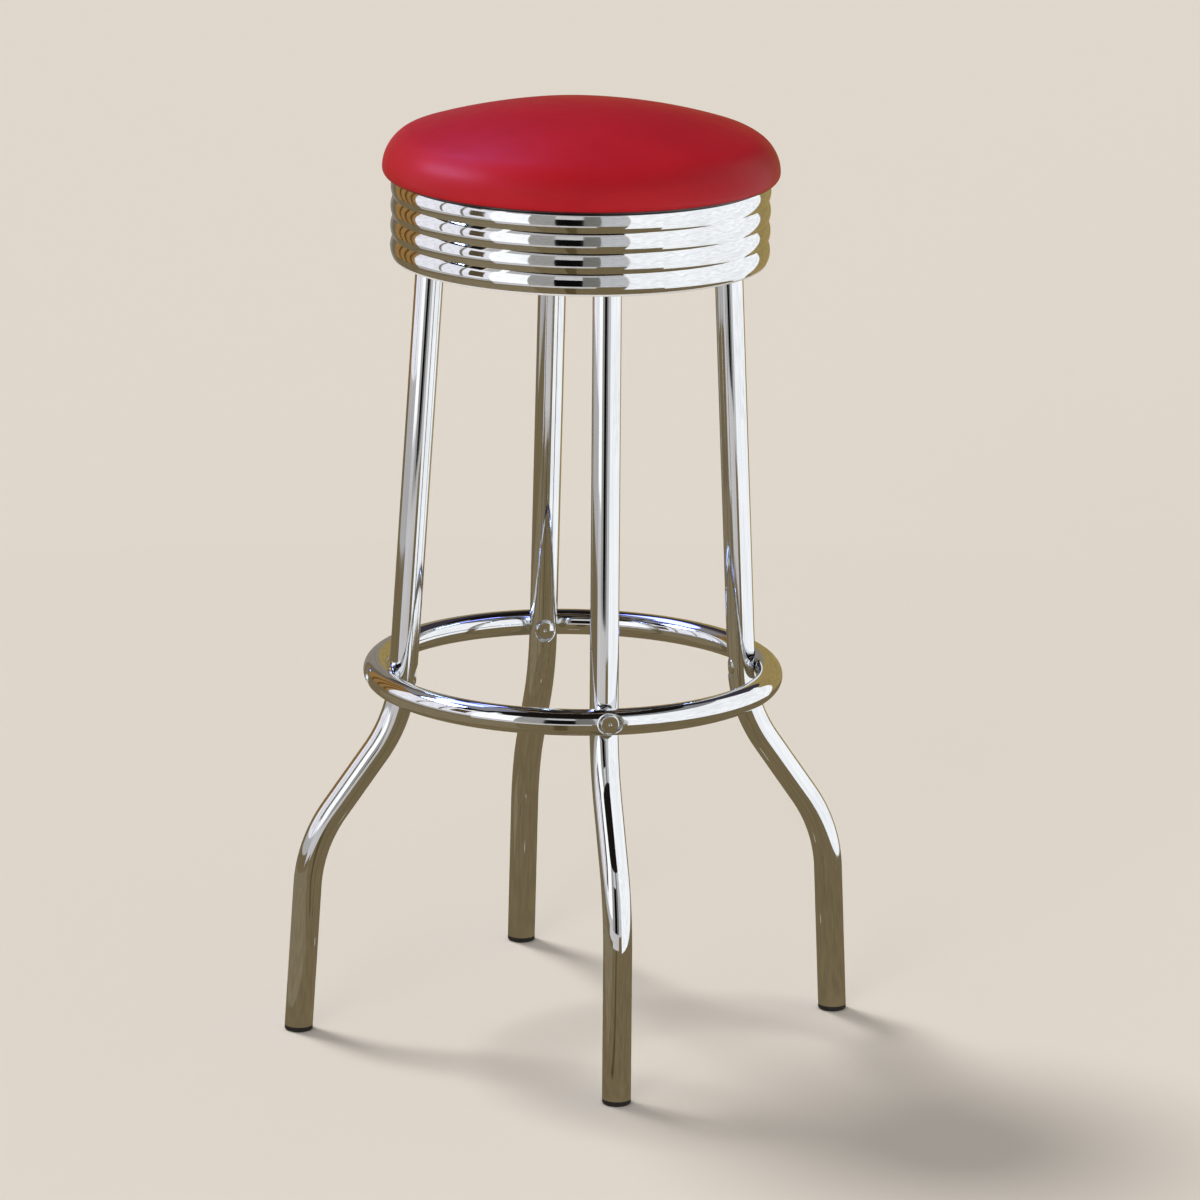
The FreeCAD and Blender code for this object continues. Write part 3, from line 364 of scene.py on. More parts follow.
def meshPiece(name, points, faces, material):
    mesh = bpy.data.meshes.new(name)
    mesh.from_pydata([tuple(p) for p in points], [], faces)
    mesh.materials.append(material)
    return linked(name, mesh)


def places(mesh):
    points = np.empty(len(mesh.vertices) * 3)
    mesh.vertices.foreach_get("co", points)
    return points.reshape(-1, 3)


def setPlaces(mesh, points):
    mesh.vertices.foreach_set("co", points.ravel())
    mesh.update()


def finishedMesh(piece):
    # the plain mesh that the piece's modifiers make
    graph = bpy.context.evaluated_depsgraph_get()
    return bpy.data.meshes.new_from_object(piece.evaluated_get(graph))


def applyModifiers(piece):
    mesh = finishedMesh(piece)
    piece.modifiers.clear()
    piece.data = mesh
    return piece


def giveWall(piece, thickness):
    wall = piece.modifiers.new("wall", "SOLIDIFY")
    wall.thickness = thickness * mm
    wall.offset = -1
    wall.use_even_offset = True
    return applyModifiers(piece)


def outward(piece):
    # merges doubles, then turns every face outwards
    work = bmesh.new()
    work.from_mesh(piece.data)
    bmesh.ops.remove_doubles(work, verts=work.verts, dist=1e-7)
    bmesh.ops.recalc_face_normals(work, faces=work.faces)
    work.to_mesh(piece.data)
    work.free()
    return piece


def smooth(piece, angle):
    # smooth faces, with the creases sharper than the angle kept
    piece.data.polygons.foreach_set("use_smooth", [True] * len(piece.data.polygons))
    piece.data.set_sharp_from_angle(angle=math.radians(angle))
    return piece


def lathe(name, profile, steps, slot):
    # turns (radius, height) points about Z; a point on the axis becomes one vertex
    points, rows = [], []
    for radius, height in profile:
        count = 1 if radius < 1e-6 else steps
        rows.append(range(len(points), len(points) + count))
        angles = [tau * i / steps for i in range(count)]
        points += [(radius * mm * math.cos(a), radius * mm * math.sin(a), height * mm) for a in angles]
    faces = []
    for low, high in zip(rows, rows[1:]):
        for i in range(steps):
            j = i + 1
            corners = [low[i % len(low)], low[j % len(low)], high[j % len(high)], high[i % len(high)]]
            corners = list(dict.fromkeys(corners))
            if len(corners) > 2:
                faces.append(corners)
    return outward(meshPiece(name, points, faces, finishes[slot]))


def arc(centre, radius, start, end, count):
    # points on a circle, from start to end in degrees
    angles = np.radians(np.linspace(start, end, count))
    return [(centre[0] + radius * math.cos(a), centre[1] + radius * math.sin(a)) for a in angles]


def softMin(a, b, rounding):
    # the smaller of two lengths, with the corner between them rounded
    mix = np.clip(0.5 + 0.5 * (b - a) / rounding, 0, 1)
    return b * (1 - mix) + a * mix - rounding * mix * (1 - mix)


# Geometry node trees

def startTree(name, kinds):
    tree = bpy.data.node_groups.new(name, "GeometryNodeTree")
    tree.interface.new_socket("Geometry", in_out="INPUT", socket_type="NodeSocketGeometry")
    tree.interface.new_socket("Geometry", in_out="OUTPUT", socket_type="NodeSocketGeometry")
    for label, kind in {**kinds, "Material": "Material"}.items():
        tree.interface.new_socket(label, in_out="INPUT", socket_type=f"NodeSocket{kind}")
    return tree, addNode(tree, "NodeGroupInput").outputs


def endTree(tree, geometry, entry):
    real = addNode(tree, "GeometryNodeRealizeInstances", {"Geometry": geometry})
    finished = addNode(tree, "GeometryNodeSetMaterial", {"Geometry": real, "Material": entry["Material"]})
    addNode(tree, "NodeGroupOutput", {"Geometry": finished})
    return tree


def runTree(piece, tree, values):
    # sets the inputs by identifier and swaps the piece for the plain mesh that comes out
    modifier = piece.modifiers.new(tree.name, "NODES")
    modifier.node_group = tree
    for item in tree.interface.items_tree:
        if item.in_out == "INPUT" and item.name in values:
            modifier[item.identifier] = values[item.name]
    name, mesh = piece.name, finishedMesh(piece)
    bpy.data.objects.remove(piece)
    return linked(name, mesh)


def tubeTree():
    # a round tube along the curve
    tree, entry = startTree("tube", {"Radius": "Float", "Sides": "Int"})
    section = addNode(tree, "GeometryNodeCurvePrimitiveCircle",
                      {"Resolution": entry["Sides"], "Radius": entry["Radius"]})
    skin = addNode(tree, "GeometryNodeCurveToMesh", {"Curve": entry["Geometry"], "Profile Curve": section})
    return endTree(tree, skin, entry)


def aroundTree():
    # copies of the mesh, evenly turned about Z
    tree, entry = startTree("around", {"Count": "Int"})
    points = addNode(tree, "GeometryNodePoints", {"Count": entry["Count"]})
    index = addNode(tree, "GeometryNodeInputIndex")
    share = addNode(tree, "ShaderNodeMath", {0: index, 1: entry["Count"]}, operation="DIVIDE")
    turn = addNode(tree, "ShaderNodeMath", {0: share, 1: tau}, operation="MULTIPLY")
    spin = addNode(tree, "ShaderNodeCombineXYZ", {"Z": turn})
    copies = addNode(tree, "GeometryNodeInstanceOnPoints",
                     {"Points": points, "Instance": entry["Geometry"], "Rotation": spin})
    return endTree(tree, copies, entry)


def ribTree():
    # a round wall of equal convex ribs, one above the other
    lengths = ("Bottom", "Pitch", "Rib Arc", "Rib Axis")
    counts = ("Ribs", "Rows", "Steps")
    tree, entry = startTree("ribs", {**dict.fromkeys(lengths, "Float"), **dict.fromkeys(counts, "Int")})
    rows = addNode(tree, "ShaderNodeMath", {0: entry["Ribs"], 1: entry["Rows"], 2: 1},
                   operation="MULTIPLY_ADD")
    steps = addNode(tree, "ShaderNodeMath", {0: entry["Steps"], 1: 1}, operation="ADD")
    grid = addNode(tree, "GeometryNodeMeshGrid",
                   {"Size X": 1, "Size Y": 1, "Vertices X": steps, "Vertices Y": rows})
    spot = addNode(tree, "ShaderNodeSeparateXYZ", {0: addNode(tree, "GeometryNodeInputPosition")})
    turn = addNode(tree, "ShaderNodeMath", {0: spot.outputs[0], 1: tau}, operation="MULTIPLY")
    rise = addNode(tree, "ShaderNodeMath", {0: spot.outputs[1], 1: 0.5}, operation="ADD")
    rib = addNode(tree, "ShaderNodeMath", {0: rise, 1: entry["Ribs"]}, operation="MULTIPLY")
    # pingpong runs 0 to 1/2 and back within each rib, so both ends of a rib are its valleys
    side = addNode(tree, "ShaderNodeMath", {0: rib, 1: 0.5}, operation="PINGPONG")
    off = addNode(tree, "ShaderNodeMath", {0: 0.5, 1: side}, operation="SUBTRACT")
    drop = addNode(tree, "ShaderNodeMath", {0: off, 1: entry["Pitch"]}, operation="MULTIPLY")
    dropped = addNode(tree, "ShaderNodeMath", {0: drop, 1: drop}, operation="MULTIPLY")
    whole = addNode(tree, "ShaderNodeMath",
                    {0: entry["Rib Arc"], 1: entry["Rib Arc"]}, operation="MULTIPLY")
    left = addNode(tree, "ShaderNodeMath", {0: whole, 1: dropped}, operation="SUBTRACT")
    bulge = addNode(tree, "ShaderNodeMath", {0: left}, operation="SQRT")
    radius = addNode(tree, "ShaderNodeMath", {0: entry["Rib Axis"], 1: bulge}, operation="ADD")
    cosine = addNode(tree, "ShaderNodeMath", {0: turn}, operation="COSINE")
    sine = addNode(tree, "ShaderNodeMath", {0: turn}, operation="SINE")
    wall = addNode(tree, "ShaderNodeCombineXYZ", {
        "X": addNode(tree, "ShaderNodeMath", {0: radius, 1: cosine}, operation="MULTIPLY"),
        "Y": addNode(tree, "ShaderNodeMath", {0: radius, 1: sine}, operation="MULTIPLY"),
        "Z": addNode(tree, "ShaderNodeMath", {0: rib, 1: entry["Pitch"], 2: entry["Bottom"]},
                     operation="MULTIPLY_ADD"),
    })
    ribs = addNode(tree, "GeometryNodeSetPosition", {"Geometry": grid, "Position": wall})
    return endTree(tree, ribs, entry)


tube = tubeTree()
around = aroundTree()


# Cushion

cushion = {
    "radius": 153.8,        # at its widest
    "crown": 737.0,         # top above the floor
    "widest": 686.6,        # level of the widest point
    "roll": 6.9,            # radius under the edge
    "crownArc": 420.0,      # curvature of the top
    "skin": 1.2,
    "hem": 27.0,            # turned in under the board
    "steps": 288,           # points round it
    "hemRows": 8,           # rows of points on the hem, under the edge and on the dome
    "rollRows": 14,
    "domeRows": 96,
    "crease": 60,           # edges sharper than this stay sharp
    "slack": 3.0,           # the pad starts this much smaller
    "padFloor": 2,          # and this much above the cover's bottom
    "padSteps": 96,
    "padRows": 30,
    "voxel": 6.0,
    "pressure": 4.0,
    "frames": 20,
    "limit": 5.0,           # farthest a point may swell
    "held": 692.0,          # the board holds it below this level
    "evened": 90,           # passes that even out what the pad gives the skin
    "fade": 6,              # it fades out over one in this many of the rows, at the edge and at the crown
}


def domeProfile(inset, count):
    # widest point up to the crown: a shoulder arc that runs into the flatter crown arc
    reach, big = cushion["radius"], cushion["crownArc"]
    rise = cushion["crown"] - cushion["widest"]
    small = (2 * big * rise - reach ** 2 - rise ** 2) / (2 * (big - reach))
    lean = math.degrees(math.asin((reach - small) / (big - small)))
    shoulder = arc((reach - small, cushion["widest"]), small - inset, 0, 90 - lean, count // 2)
    crown = arc((0, cushion["crown"] - big), big - inset, 90 - lean, 90, count // 2)
    crown[-1] = (0, crown[-1][1])
    return shoulder + crown[1:]


def swollenPad():
    # a pad that starts slightly smaller and is pressed out by cloth pressure
    inset = cushion["slack"]
    floor = cushion["widest"] - cushion["roll"] + cushion["padFloor"]
    profile = [(0, floor), (cushion["radius"] - cushion["roll"] - inset, floor)]
    profile += domeProfile(inset, cushion["padRows"])
    pad = lathe("swollenPad", profile, cushion["padSteps"], "foam")
    remesh = pad.modifiers.new("remesh", "REMESH")
    remesh.mode = "VOXEL"
    remesh.voxel_size = cushion["voxel"] * mm
    applyModifiers(pad)
    start = places(pad.data)
    held = pad.vertex_groups.new(name="held")
    held.add(np.nonzero(start[:, 2] < cushion["held"] * mm)[0].tolist(), 1.0, "REPLACE")
    cloth = pad.modifiers.new("cloth", "CLOTH")
    cloth.settings.vertex_group_mass = "held"
    cloth.settings.use_pressure = True
    cloth.settings.uniform_pressure_force = cushion["pressure"]
    cloth.settings.effector_weights.gravity = 0
    cloth.point_cache.frame_end = cushion["frames"]
    for number in range(1, cushion["frames"] + 1):
        scene.frame_set(number)
    graph = bpy.context.evaluated_depsgraph_get()
    moved = places(pad.evaluated_get(graph).data) - start
    far = np.linalg.norm(moved, axis=1, keepdims=True)
    moved *= np.minimum(1, cushion["limit"] * mm / np.maximum(far, 1e-9))
    pad.modifiers.clear()
    setPlaces(pad.data, start + moved)
    scene.frame_set(1)
    finer = pad.modifiers.new("finer", "SUBSURF")
    finer.levels = finer.render_levels = 1
    print("pad swelled by up to", round(float(far.max()) / mm, 1), "mm")
    return applyModifiers(pad)


def laidOn(skin, first, pad):
    # moves each of the skin's points, from first on, by what the pad is over or under its row's mean
    tree = BVHTree.FromObject(pad, bpy.context.evaluated_depsgraph_get())
    points = places(skin.data)
    middle = np.array([0, 0, cushion["held"] * mm])
    rings = (len(points) - 1 - first) // cushion["steps"]
    dome = points[first:first + rings * cushion["steps"]]
    ways = dome - middle
    lengths = np.linalg.norm(ways, axis=1, keepdims=True)
    ways /= lengths
    hits = [tree.ray_cast(Vector(middle), Vector(way))[3] for way in ways]
    shift = np.array(hits).reshape(rings, -1) - lengths.reshape(rings, -1)
    shift -= shift.mean(axis=1, keepdims=True)
    for _ in range(cushion["evened"]):
        shift = shift / 2 + (np.roll(shift, 1, axis=1) + np.roll(shift, -1, axis=1)) / 4
        tall = np.pad(shift, ((1, 1), (0, 0)), mode="edge")
        shift = shift / 2 + (tall[:-2] + tall[2:]) / 4
    level = np.linspace(0, 1, rings)[:, None]
    shift *= np.clip(level * cushion["fade"], 0, 1) * np.clip((1 - level) * cushion["fade"], 0, 1)
    dome += ways * shift.reshape(-1, 1)
    setPlaces(skin.data, points)
    print("skin laid on the pad, uneven by", round(float(np.ptp(shift)) / mm, 2), "mm")


def makeCushion():
    edge = cushion["radius"] - cushion["roll"]
    low = cushion["widest"] - cushion["roll"]
    under = [(r, low) for r in np.linspace(edge - cushion["hem"], edge, cushion["hemRows"])[:-1]]
    under += arc((edge, cushion["widest"]), cushion["roll"], -90, 0, cushion["rollRows"])[:-1]
    profile = under + domeProfile(0, cushion["domeRows"])
    skin = lathe("seatCover", profile, cushion["steps"], "red_vinyl")
    pad = swollenPad()
    laidOn(skin, len(under) * cushion["steps"], pad)
    bpy.data.objects.remove(pad)
    giveWall(skin, cushion["skin"])
    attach(smooth(skin, cushion["crease"]), "swivel_seat")
    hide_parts("seat_cover", "foam_pad")


makeCushion()
print("cushion done")


# Band

band = {
    "crest": 146.9,
    "depth": 2.0,           # crest to valley
    "pitch": 15.6,          # height of one rib
    "ribs": 4,
    "top": 679.7,
    "sheet": 1.0,
    "flange": 17.0,         # turned in under the board
    "inset": 0.5,           # of the flange's outer edge, from the valley
    "rim": 1.8,             # radius of the beaded rim
    "rimPoints": 25,
    "steps": 320,           # faces round it
    "rows": 14,             # faces up one rib
    "crease": 25,
}


def makeBand():
    bottom = band["top"] - band["ribs"] * band["pitch"]
    valley = band["crest"] - band["depth"]
    ribArc = (band["pitch"] ** 2 / 4 + band["depth"] ** 2) / (2 * band["depth"])
    ribs = outward(runTree(meshPiece("seatBand", [], [], finishes["chrome"]), ribTree(), {
        "Bottom": bottom * mm, "Pitch": band["pitch"] * mm, "Rib Arc": ribArc * mm,
        "Rib Axis": (band["crest"] - ribArc) * mm, "Ribs": band["ribs"], "Rows": band["rows"],
        "Steps": band["steps"], "Material": finishes["chrome"],
    }))
    giveWall(ribs, band["sheet"])
    low, inner, outer = band["top"] - band["sheet"], valley - band["flange"], valley - band["inset"]
    turned = [(inner, low), (outer, low), (outer, band["top"]), (inner, band["top"]), (inner, low)]
    flange = lathe("flange", turned, band["steps"], "chrome")
    rim = arc((valley - band["rim"], bottom), band["rim"], 0, 360, band["rimPoints"])
    bead = lathe("bead", rim, band["steps"], "chrome")
    work = bmesh.new()
    work.from_mesh(ribs.data)
    for extra in (flange, bead):
        work.from_mesh(extra.data)
        bpy.data.objects.remove(extra)
    work.to_mesh(ribs.data)
    work.free()
    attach(smooth(ribs, band["crease"]), "swivel_seat")
    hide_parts("seat_band")


makeBand()
print("band done")


# Foot ring, its bolts and nuts

ring = {
    "height": 285.8,
    "radius": 154.213,      # centre line
    "tube": 10.25,
    "sides": 84,
    "seat": 159.863,        # floor of the dish round each head, from the middle
    "dish": 7.8,            # radius of that floor
    "flare": 24.0,          # of the dish's wall, from the bolt's axis
    "rounding": 1.9,        # of the pressed edges
    "fine": 0.6,            # spacing of the rows in a dish
    "coarse": 3.0,
    "reach": 15.0,          # of the fine rows, either side of a bolt
    "crease": 60,
}
head = {
    "radius": 7.2,
    "middle": 2.35,         # thickness in the middle
    "domeArc": 80.0,
    "hollow": 1.4,          # radius of the hollow in the middle
    "hollowDepth": 0.6,
    "lip": 0.85,            # radius of the hollow's lip, as a share of the hollow's
    "lipDepth": 0.2,
    "softEdge": 0.8,        # rounding of the rim
    "edgePoints": 8,
    "domePoints": 20,
    "shank": 3.0,           # radius, with the lengths behind the head below
    "boltShank": 20,
    "nutShank": 8,
    "steps": 72,            # faces round it
    "crease": 28,
}
sides = {"right": 0, "back": 90, "left": 180, "front": 270}


def dishDepth(across, up, seat):
    # how far out a dish's wall stands at this distance from the bolt's axis
    off = np.hypot(across, up)
    return seat + np.maximum(0, off - ring["dish"]) / math.tan(math.radians(ring["flare"]))


def pathPiece(name, points, closed):
    data = bpy.data.curves.new(name, "CURVE")
    data.dimensions = "3D"
    spline = data.splines.new("POLY")
    spline.points.add(len(points) - 1)
    for slot, point in zip(spline.points, points):
        slot.co = (*[c * mm for c in point], 1)
    spline.use_cyclic_u = closed
    return linked(name, data)


def makeRing():
    quarter = math.pi / 2 * ring["radius"]
    run, near = [], 0
    while near < quarter:
        run.append(near / ring["radius"])
        close = min(near, quarter - near) < ring["reach"]
        near += ring["fine"] if close else ring["coarse"]
    angles = [start * math.pi / 2 + a for start in range(4) for a in run]
    path = [(ring["radius"] * math.cos(a), ring["radius"] * math.sin(a), ring["height"]) for a in angles]
    piece = runTree(pathPiece("footRing", path, True), tube,
                    {"Radius": ring["tube"] * mm, "Sides": ring["sides"], "Material": finishes["chrome"]})
    points = places(piece.data) / mm
    for angle in sides.values():
        turn = np.array(Matrix.Rotation(math.radians(angle), 3, "Z"))
        local = points @ turn
        out, across, up = local[:, 0], local[:, 1], local[:, 2] - ring["height"]
        pressed = softMin(out, dishDepth(across, up, ring["seat"]), ring["rounding"])
        facing = (out > ring["radius"]) & (np.abs(across) < ring["reach"])
        local[:, 0] = np.where(facing, pressed, out)
        points = local @ turn.T
    setPlaces(piece.data, points * mm)
    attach(smooth(outward(piece), ring["crease"]), "stool_base")
    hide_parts("foot_ring")


def headProfile():
    # round the soft edge, over the dome and into the hollow
    radius, soft, dome = head["radius"], head["softEdge"], head["domeArc"]
    centre = head["middle"] - math.sqrt(dome ** 2 - head["hollow"] ** 2)
    low = math.acos((radius - soft) / (dome - soft))
    high = math.acos(head["hollow"] / dome)
    corner = (radius - soft, centre + (dome - soft) * math.sin(low))
    low, high = math.degrees(low), math.degrees(high)
    profile = [(radius, 0)] + arc(corner, soft, 0, low, head["edgePoints"])
    profile += arc((0, centre), dome, low, high, head["domePoints"])[1:]
    lip = (head["hollow"] * head["lip"], head["middle"] - head["lipDepth"])
    floor = head["middle"] - head["hollowDepth"]
    return profile + [lip, (head["hollow"] / 2, floor), (0, floor)]


def makeHeads(name, node, seat, shank, outwards):
    # a lathed head and shank, tipped on to the ring bolt's axis, and copied to the four legs
    profile = [(0, -shank), (head["shank"], -shank), (head["shank"], 0)] + headProfile()
    piece = lathe(name, profile, head["steps"], "chrome")
    tip = Matrix.Rotation(math.radians(90 if outwards else -90), 4, "Y")
    piece.data.transform(Matrix.Translation((seat * mm, 0, ring["height"] * mm)) @ tip)
    piece = runTree(piece, around, {"Count": len(sides), "Material": finishes["chrome"]})
    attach(smooth(piece, head["crease"]), "stool_base")
    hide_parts(node)


makeRing()
makeHeads("ringBolts", "ring_bolts", ring["seat"], head["boltShank"], True)
print("foot ring done")


# Legs

leg = {
    "radius": 11.1,
    "wall": 1.6,
    "sides": 84,
    "foot": 215.283,        # centre line where the tube starts, from the middle
    "footHeight": 4.0,      # tube starts on the glide
    "levelled": 1,          # points up to this far above the foot are brought level with it
    "kneeLow": (207.290, 151.6),    # corner of the lower bend, distance from the middle and height
    "kneeHigh": (136.8, 252.5),
    "top": (114.629, 661.9),
    "bend": 118.0,
    "saddleAxis": 173.913,  # middle of the press tool behind the ring
    "saddle": 30.0,         # radius of that tool
    "seat": 127.480,        # floor of the dish round the nut
    "rounding": 0.8,
    "pathPoints": 10,       # per mm of centre line, before it is thinned to fine or coarse rows
    "fine": 0.6,
    "coarse": 3.0,
    "reach": 22.0,          # of the fine rows, above and below the ring
    "crease": 45,
}


def straight(start, end):
    count = int((end - start).length * leg["pathPoints"])
    return [start.lerp(end, t) for t in np.linspace(0, 1, count)]


def bentPath(corners, bend):
    # close points along straight runs joined by round bends
    corners = [Vector(c) for c in corners]
    path, start = [], corners[0]
    for before, corner, after in zip(corners, corners[1:], corners[2:]):
        back, ahead = (before - corner).normalized(), (after - corner).normalized()
        half = back.angle(ahead) / 2
        entry = corner + back * bend / math.tan(half)
        centre = corner + (back + ahead).normalized() * bend / math.sin(half)
        spoke = entry - centre
        sweep = (math.pi - 2 * half) * (1 if back.cross(ahead) < 0 else -1)
        path += straight(start, entry)
        turns = np.linspace(0, sweep, int(bend * abs(sweep) * leg["pathPoints"]))
        path += [centre + Matrix.Rotation(turn, 2) @ spoke for turn in turns]
        start = corner + ahead * bend / math.tan(half)
    return path + straight(start, corners[-1])


def legPath():
    foot = (leg["foot"], leg["footHeight"])
    path = bentPath([foot, leg["kneeLow"], leg["kneeHigh"], leg["top"]], leg["bend"])
    kept = [path[0]]
    for point in path:
        fine = abs(point.y - ring["height"]) < leg["reach"]
        if (point - kept[-1]).length >= (leg["fine"] if fine else leg["coarse"]):
            kept.append(point)
    return [(p.x, 0, p.y) for p in kept + [path[-1]]]


def pressedLeg():
    # the leg on the +X side: pressed in behind the ring, and dished round the nut
    piece = runTree(pathPiece("pressedLeg", legPath(), False), tube,
                    {"Radius": leg["radius"] * mm, "Sides": leg["sides"], "Material": finishes["chrome"]})
    outward(piece)
    points = places(piece.data) / mm
    out, across, up = points[:, 0], points[:, 1], points[:, 2] - ring["height"]
    near = np.abs(up) < leg["reach"]
    tool = leg["saddleAxis"] - np.sqrt(np.maximum(0, leg["saddle"] ** 2 - up ** 2))
    saddle = np.sqrt(np.maximum(0, tool ** 2 - across ** 2))
    dish = 2 * leg["seat"] - dishDepth(across, up, leg["seat"])
    middle = leg["seat"] + leg["radius"] / 2    # between the saddle's side and the dish's
    pressed = np.where(out > middle, softMin(out, saddle, leg["rounding"]), out)
    pressed = np.where(out < middle, -softMin(-out, -dish, leg["rounding"]), pressed)
    points[:, 0] = np.where(near, pressed, out)
    level = points[:, 2] < leg["footHeight"] + leg["levelled"]
    points[level, 2] = leg["footHeight"]
    setPlaces(piece.data, points * mm)
    return giveWall(piece, leg["wall"])


def makeLegs():
    pattern = pressedLeg()
    for side, angle in sides.items():
        piece = linked("leg" + side.capitalize(), pattern.data.copy())
        piece.data.transform(Matrix.Rotation(math.radians(angle), 4, "Z"))
        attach(smooth(piece, leg["crease"]), "stool_base")
        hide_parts(f"leg_{side}")
    bpy.data.objects.remove(pattern)


makeLegs()
makeHeads("ringNuts", "ring_nuts", leg["seat"], head["nutShank"], False)
print("legs done")


# Stage, light and camera

studio = {
    "floor": "#E9E1D4",
    "floorHalf": 30,        # metres from the middle to a side
    "speck": 6,             # scale of the patches of roughness
    "smooth": 0.85,         # roughness
    "rough": 0.95,
    "sheen": 0.1,           # specular level
    "backdrop": "#E9E1D4",
    "ambient": "#F4F2F4",
    "ambientLevel": 0.42,
}
# the way each lamp's light comes from, its level, and how many degrees wide it looks, which softens shadows
lamps = {
    "keyLamp": ((-0.42, 0.62, 1.2), 1.75, 16),
    "fillLamp": ((-2.5, -3.8, 0.75), 1.15, 28),
}
# what the chrome and vinyl mirror, seen in reflections alone: from and to in degrees round the stool,
# with 0 towards the viewer and + to the right, the distance and level in metres of the card's lower
# and upper edge, and its colour and strength
cards = {
    "carpet": (-180, 180, 0.01, 0.0006, 1.6, 0.0006, "#7A6B4F", 1),
    # painted shadow: a darker strip of carpet in front, standing in the reflections for the shadow the legs
    # cast
    "legShadowCarpet": (-9, -2, 0.3, 0.0008, 1.5, 0.0008, "#5C4F33", 1),
    "carpetPale": (-125, -28, 0.3, 0.0008, 1.5, 0.0008, "#887A60", 1),
    "skirting": (-29, 10, 1.2, 0, 1.2, 0.2, "#D3CECB", 1),
    "carpetEdge": (10, 28, 1.2, 0, 1.2, 0.17, "#7A6B4F", 1),
    "doorway": (-14, 2, 1.2, 0.2, 1.2, 0.86, "#0D0C0C", 1),
    "lintel": (-14, 2, 1.2, 0.86, 1.2, 1.22, "#D8D6D4", 1),
    "greyWallLeft": (-29, -14, 1.2, 0.2, 1.2, 1.22, "#A5A29E", 1),
    "greyWallRight": (2, 12, 1.2, 0.2, 1.2, 1.22, "#7D7B76", 1),
    "paleWall": (12, 28, 1.2, 0.17, 1.2, 1.22, "#CBCBCC", 1),
    "panelSkirt": (-52, -29, 1.1, 0, 1.1, 0.07, "#7A6B4F", 1),
    "panelFoot": (-52, -29, 1.1, 0.07, 1.1, 0.3, "#D6D2D4", 1),
    "whitePanel": (-52, -29, 1.1, 0.3, 1.1, 1.12, "#FFFFFF", 1.3),
    "lampStrip": (-50, -45, 1.15, 1.1, 1.15, 1.5, "#FFFFFF", 1.3),
    "shelfSkirt": (-112, -52, 1.3, 0, 1.3, 0.17, "#7A6B4F", 1),
    "shelfFoot": (-112, -52, 1.3, 0.17, 1.3, 0.34, "#BEBAB8", 1),
    "paleShelves": (-112, -52, 1.3, 0.34, 1.3, 1.16, "#F0EDF3", 1.15),
    "darkUpperWall": (-112, -61, 1.31, 0.9, 1.31, 1.8, "#15110F", 1),
    "farUpperWall": (-61, 28, 2.5, 1.4, 2.5, 2.42, "#C4C1C2", 1),
    "farFrame": (-88.5, -86.5, 1.25, 0.4, 1.25, 1.4, "#8A8474", 1),
    "nearFrame": (-72.5, -70.5, 1.25, 0.35, 1.25, 1.4, "#77705F", 1),
    "brownBox": (-66, -56, 1.25, 0.5, 1.25, 0.95, "#5A4E38", 1),
    "windowPane": (-106, -76, 1.2, 1.22, 1.2, 1.7, "#9CB8FF", 23),
    "skyPanel": (-150, -60, 0.4, 1.79, 1.3, 1.79, "#8C8D96", 1),
    "skyGlow": (-165, -106, 0.7, 1.785, 1.28, 1.785, "#8A94FF", 5),
    "brownDoor": (-143, -112, 1.3, 0.3, 1.3, 1.25, "#A07A48", 1),
    "doorGrooveNear": (-118, -115.5, 1.25, 0.3, 1.25, 1.25, "#694A22", 1),
    "doorGrooveMiddle": (-126, -123, 1.25, 0.3, 1.25, 1.25, "#694A22", 1),
    "doorGrooveFar": (-134.5, -131.5, 1.25, 0.3, 1.25, 1.25, "#694A22", 1),
    "doorFoot": (-154, -112, 1.3, 0, 1.3, 0.3, "#7A6B4F", 1),
    "doorFrame": (-154, -143, 1.3, 0.3, 1.3, 1.8, "#756A58", 1),
    "doorHead": (-143, -112, 1.3, 1.25, 1.3, 1.8, "#8B898C", 1),
    "khakiWall": (130, 184, 1.3, 0, 1.3, 0.95, "#A28D5A", 1),
    "dullWall": (184, 206, 1.3, 0, 1.3, 0.95, "#8F877B", 1),
    "dimWall": (130, 206, 1.3, 0.95, 1.3, 1.8, "#3E3A44", 1),
    "whiteWall": (28, 130, 0.95, 0, 0.95, 1.3, "#FDFDFE", 1.14),
    "greyUpperWall": (28, 130, 0.95, 1.3, 0.95, 1.8, "#8E8E90", 1),
    "whiteTable": (47, 118, 0.32, 0.45, 0.95, 0.45, "#F4F4F4", 1.2),
    "lowCeiling": (28, 299, 0.01, 1.8, 1.6, 1.8, "#1A1613", 1),
    "highCeiling": (-180, 180, 0.01, 2.43, 2.6, 2.43, "#1A1613", 1),
}
cardStyle = {
    "span": 4,              # degrees of one face
    "mottle": 14,           # scale of the patches
    "dimmest": 0.85,        # of the card's strength
    "brightest": 1.15,
}
view = {
    "place": (-0.968, -5.274, 1.708),   # metres
    "azimuth": -10.617,
    "down": 14.279,
    "roll": 1.02,
    "lens": 211.95,
    "sensor": 36,
    "farthest": 100,        # metres
}


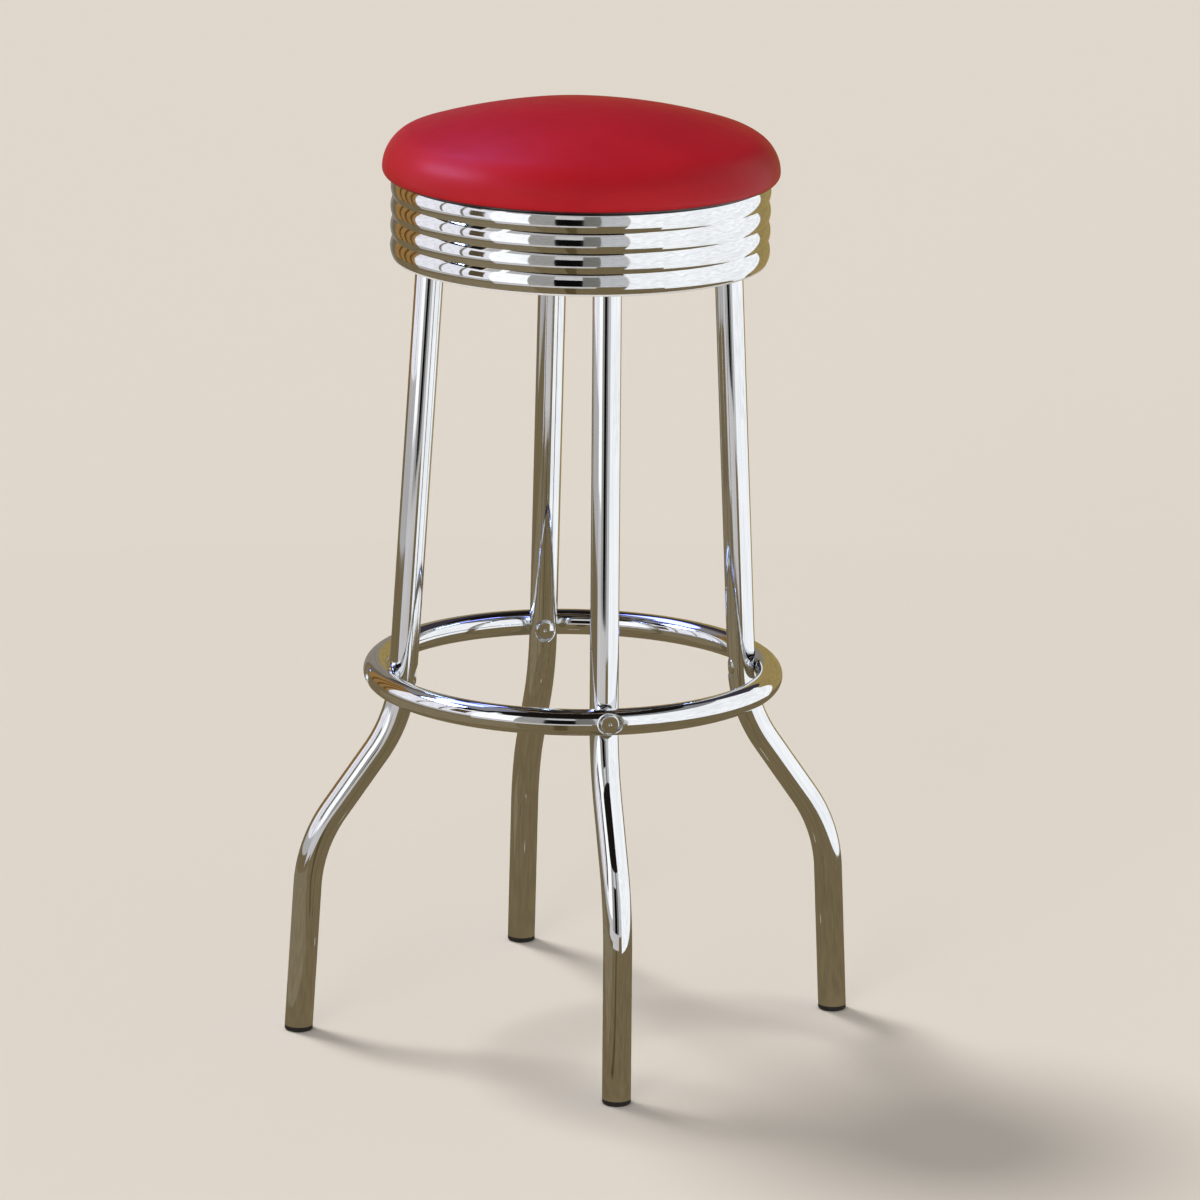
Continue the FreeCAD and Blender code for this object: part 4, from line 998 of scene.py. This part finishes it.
def reflectionCard(name, points, faces, colour, strength):
    material, tree, place = startMaterial(name)
    mottle = addNode(tree, "ShaderNodeTexNoise",
                     {"Vector": place, "Scale": cardStyle["mottle"], "Detail": 3})
    least, most = strength * cardStyle["dimmest"], strength * cardStyle["brightest"]
    level = addNode(tree, "ShaderNodeMapRange", {0: mottle, 1: noiseLow, 2: noiseHigh, 3: least, 4: most})
    glow = addNode(tree, "ShaderNodeEmission", {"Color": toLinear(colour), "Strength": level})
    addNode(tree, "ShaderNodeOutputMaterial", {"Surface": glow})
    card = meshPiece(name, points, faces, material)
    card.visible_camera = card.visible_diffuse = card.visible_shadow = False
    card.visible_transmission = card.visible_volume_scatter = False


def makeCards():
    for name, (start, end, nearReach, low, farReach, high, colour, strength) in cards.items():
        count = max(2, round((end - start) / cardStyle["span"]))
        turns = np.radians(np.linspace(start, end, count + 1) + view["azimuth"])
        points = [(nearReach * math.sin(turn), -nearReach * math.cos(turn), low) for turn in turns]
        points += [(farReach * math.sin(turn), -farReach * math.cos(turn), high) for turn in turns]
        faces = [(i, i + 1, count + i + 2, count + i + 1) for i in range(count)]
        reflectionCard(name, points, faces, colour, strength)


def makeFloor():
    material, tree, place = startMaterial("paintedFloor")
    speck = addNode(tree, "ShaderNodeTexNoise", {"Vector": place, "Scale": studio["speck"], "Detail": 3})
    rough = addNode(tree, "ShaderNodeMapRange", {0: speck, 3: studio["smooth"], 4: studio["rough"]})
    endMaterial(tree, {"Base Color": toLinear(studio["floor"]), "Roughness": rough,
                       "Specular IOR Level": studio["sheen"]})
    half = studio["floorHalf"]
    corners = [(-half, -half, 0), (half, -half, 0), (half, half, 0), (-half, half, 0)]
    meshPiece("floor", corners, [(0, 1, 2, 3)], material)


def makeWorld():
    # a pale backdrop for the eye, metal and glass, and a soft level for everything else
    world = bpy.data.worlds.new("studio")
    world.use_nodes = True
    scene.world = world
    tree = world.node_tree
    tree.nodes.clear()
    path = addNode(tree, "ShaderNodeLightPath").outputs
    shown = addNode(tree, "ShaderNodeMath", {0: path["Is Camera Ray"], 1: path["Is Glossy Ray"]},
                    operation="MAXIMUM")
    shown = addNode(tree, "ShaderNodeMath", {0: shown, 1: path["Is Transmission Ray"]}, operation="MAXIMUM")
    soft = addNode(tree, "ShaderNodeBackground",
                   {"Color": toLinear(studio["ambient"]), "Strength": studio["ambientLevel"]})
    plain = addNode(tree, "ShaderNodeBackground", {"Color": toLinear(studio["backdrop"]), "Strength": 1.0})
    both = addNode(tree, "ShaderNodeMixShader", {0: shown, 1: soft, 2: plain})
    addNode(tree, "ShaderNodeOutputWorld", {"Surface": both})


def makeLamps():
    # far lamps that light evenly; the cards stand for them in reflections
    for name, (source, level, spread) in lamps.items():
        data = bpy.data.lights.new(name, "SUN")
        data.energy = level
        data.angle = math.radians(spread)
        lamp = linked(name, data)
        lamp.rotation_euler = Vector(source).to_track_quat("Z", "Y").to_euler()
        lamp.visible_glossy = False


def makeCamera():
    turn, down, roll = (math.radians(view[key]) for key in ("azimuth", "down", "roll"))
    ahead = Vector((-math.sin(turn) * math.cos(down), math.cos(turn) * math.cos(down), -math.sin(down)))
    level = Vector((math.cos(turn), math.sin(turn), 0))
    right = math.cos(roll) * level + math.sin(roll) * level.cross(ahead)
    data = bpy.data.cameras.new("camera")
    data.lens = view["lens"]
    data.sensor_width = view["sensor"]
    data.clip_end = view["farthest"]
    camera = linked("camera", data)
    turned = Matrix((right, right.cross(ahead), -ahead)).transposed()
    camera.matrix_world = Matrix.Translation(view["place"]) @ turned.to_4x4()
    scene.camera = camera


makeFloor()
makeWorld()
makeCards()
makeLamps()
makeCamera()
scene.view_settings.view_transform = "Standard"
print("stage, light and camera done")

bpy.context.view_layer.update()
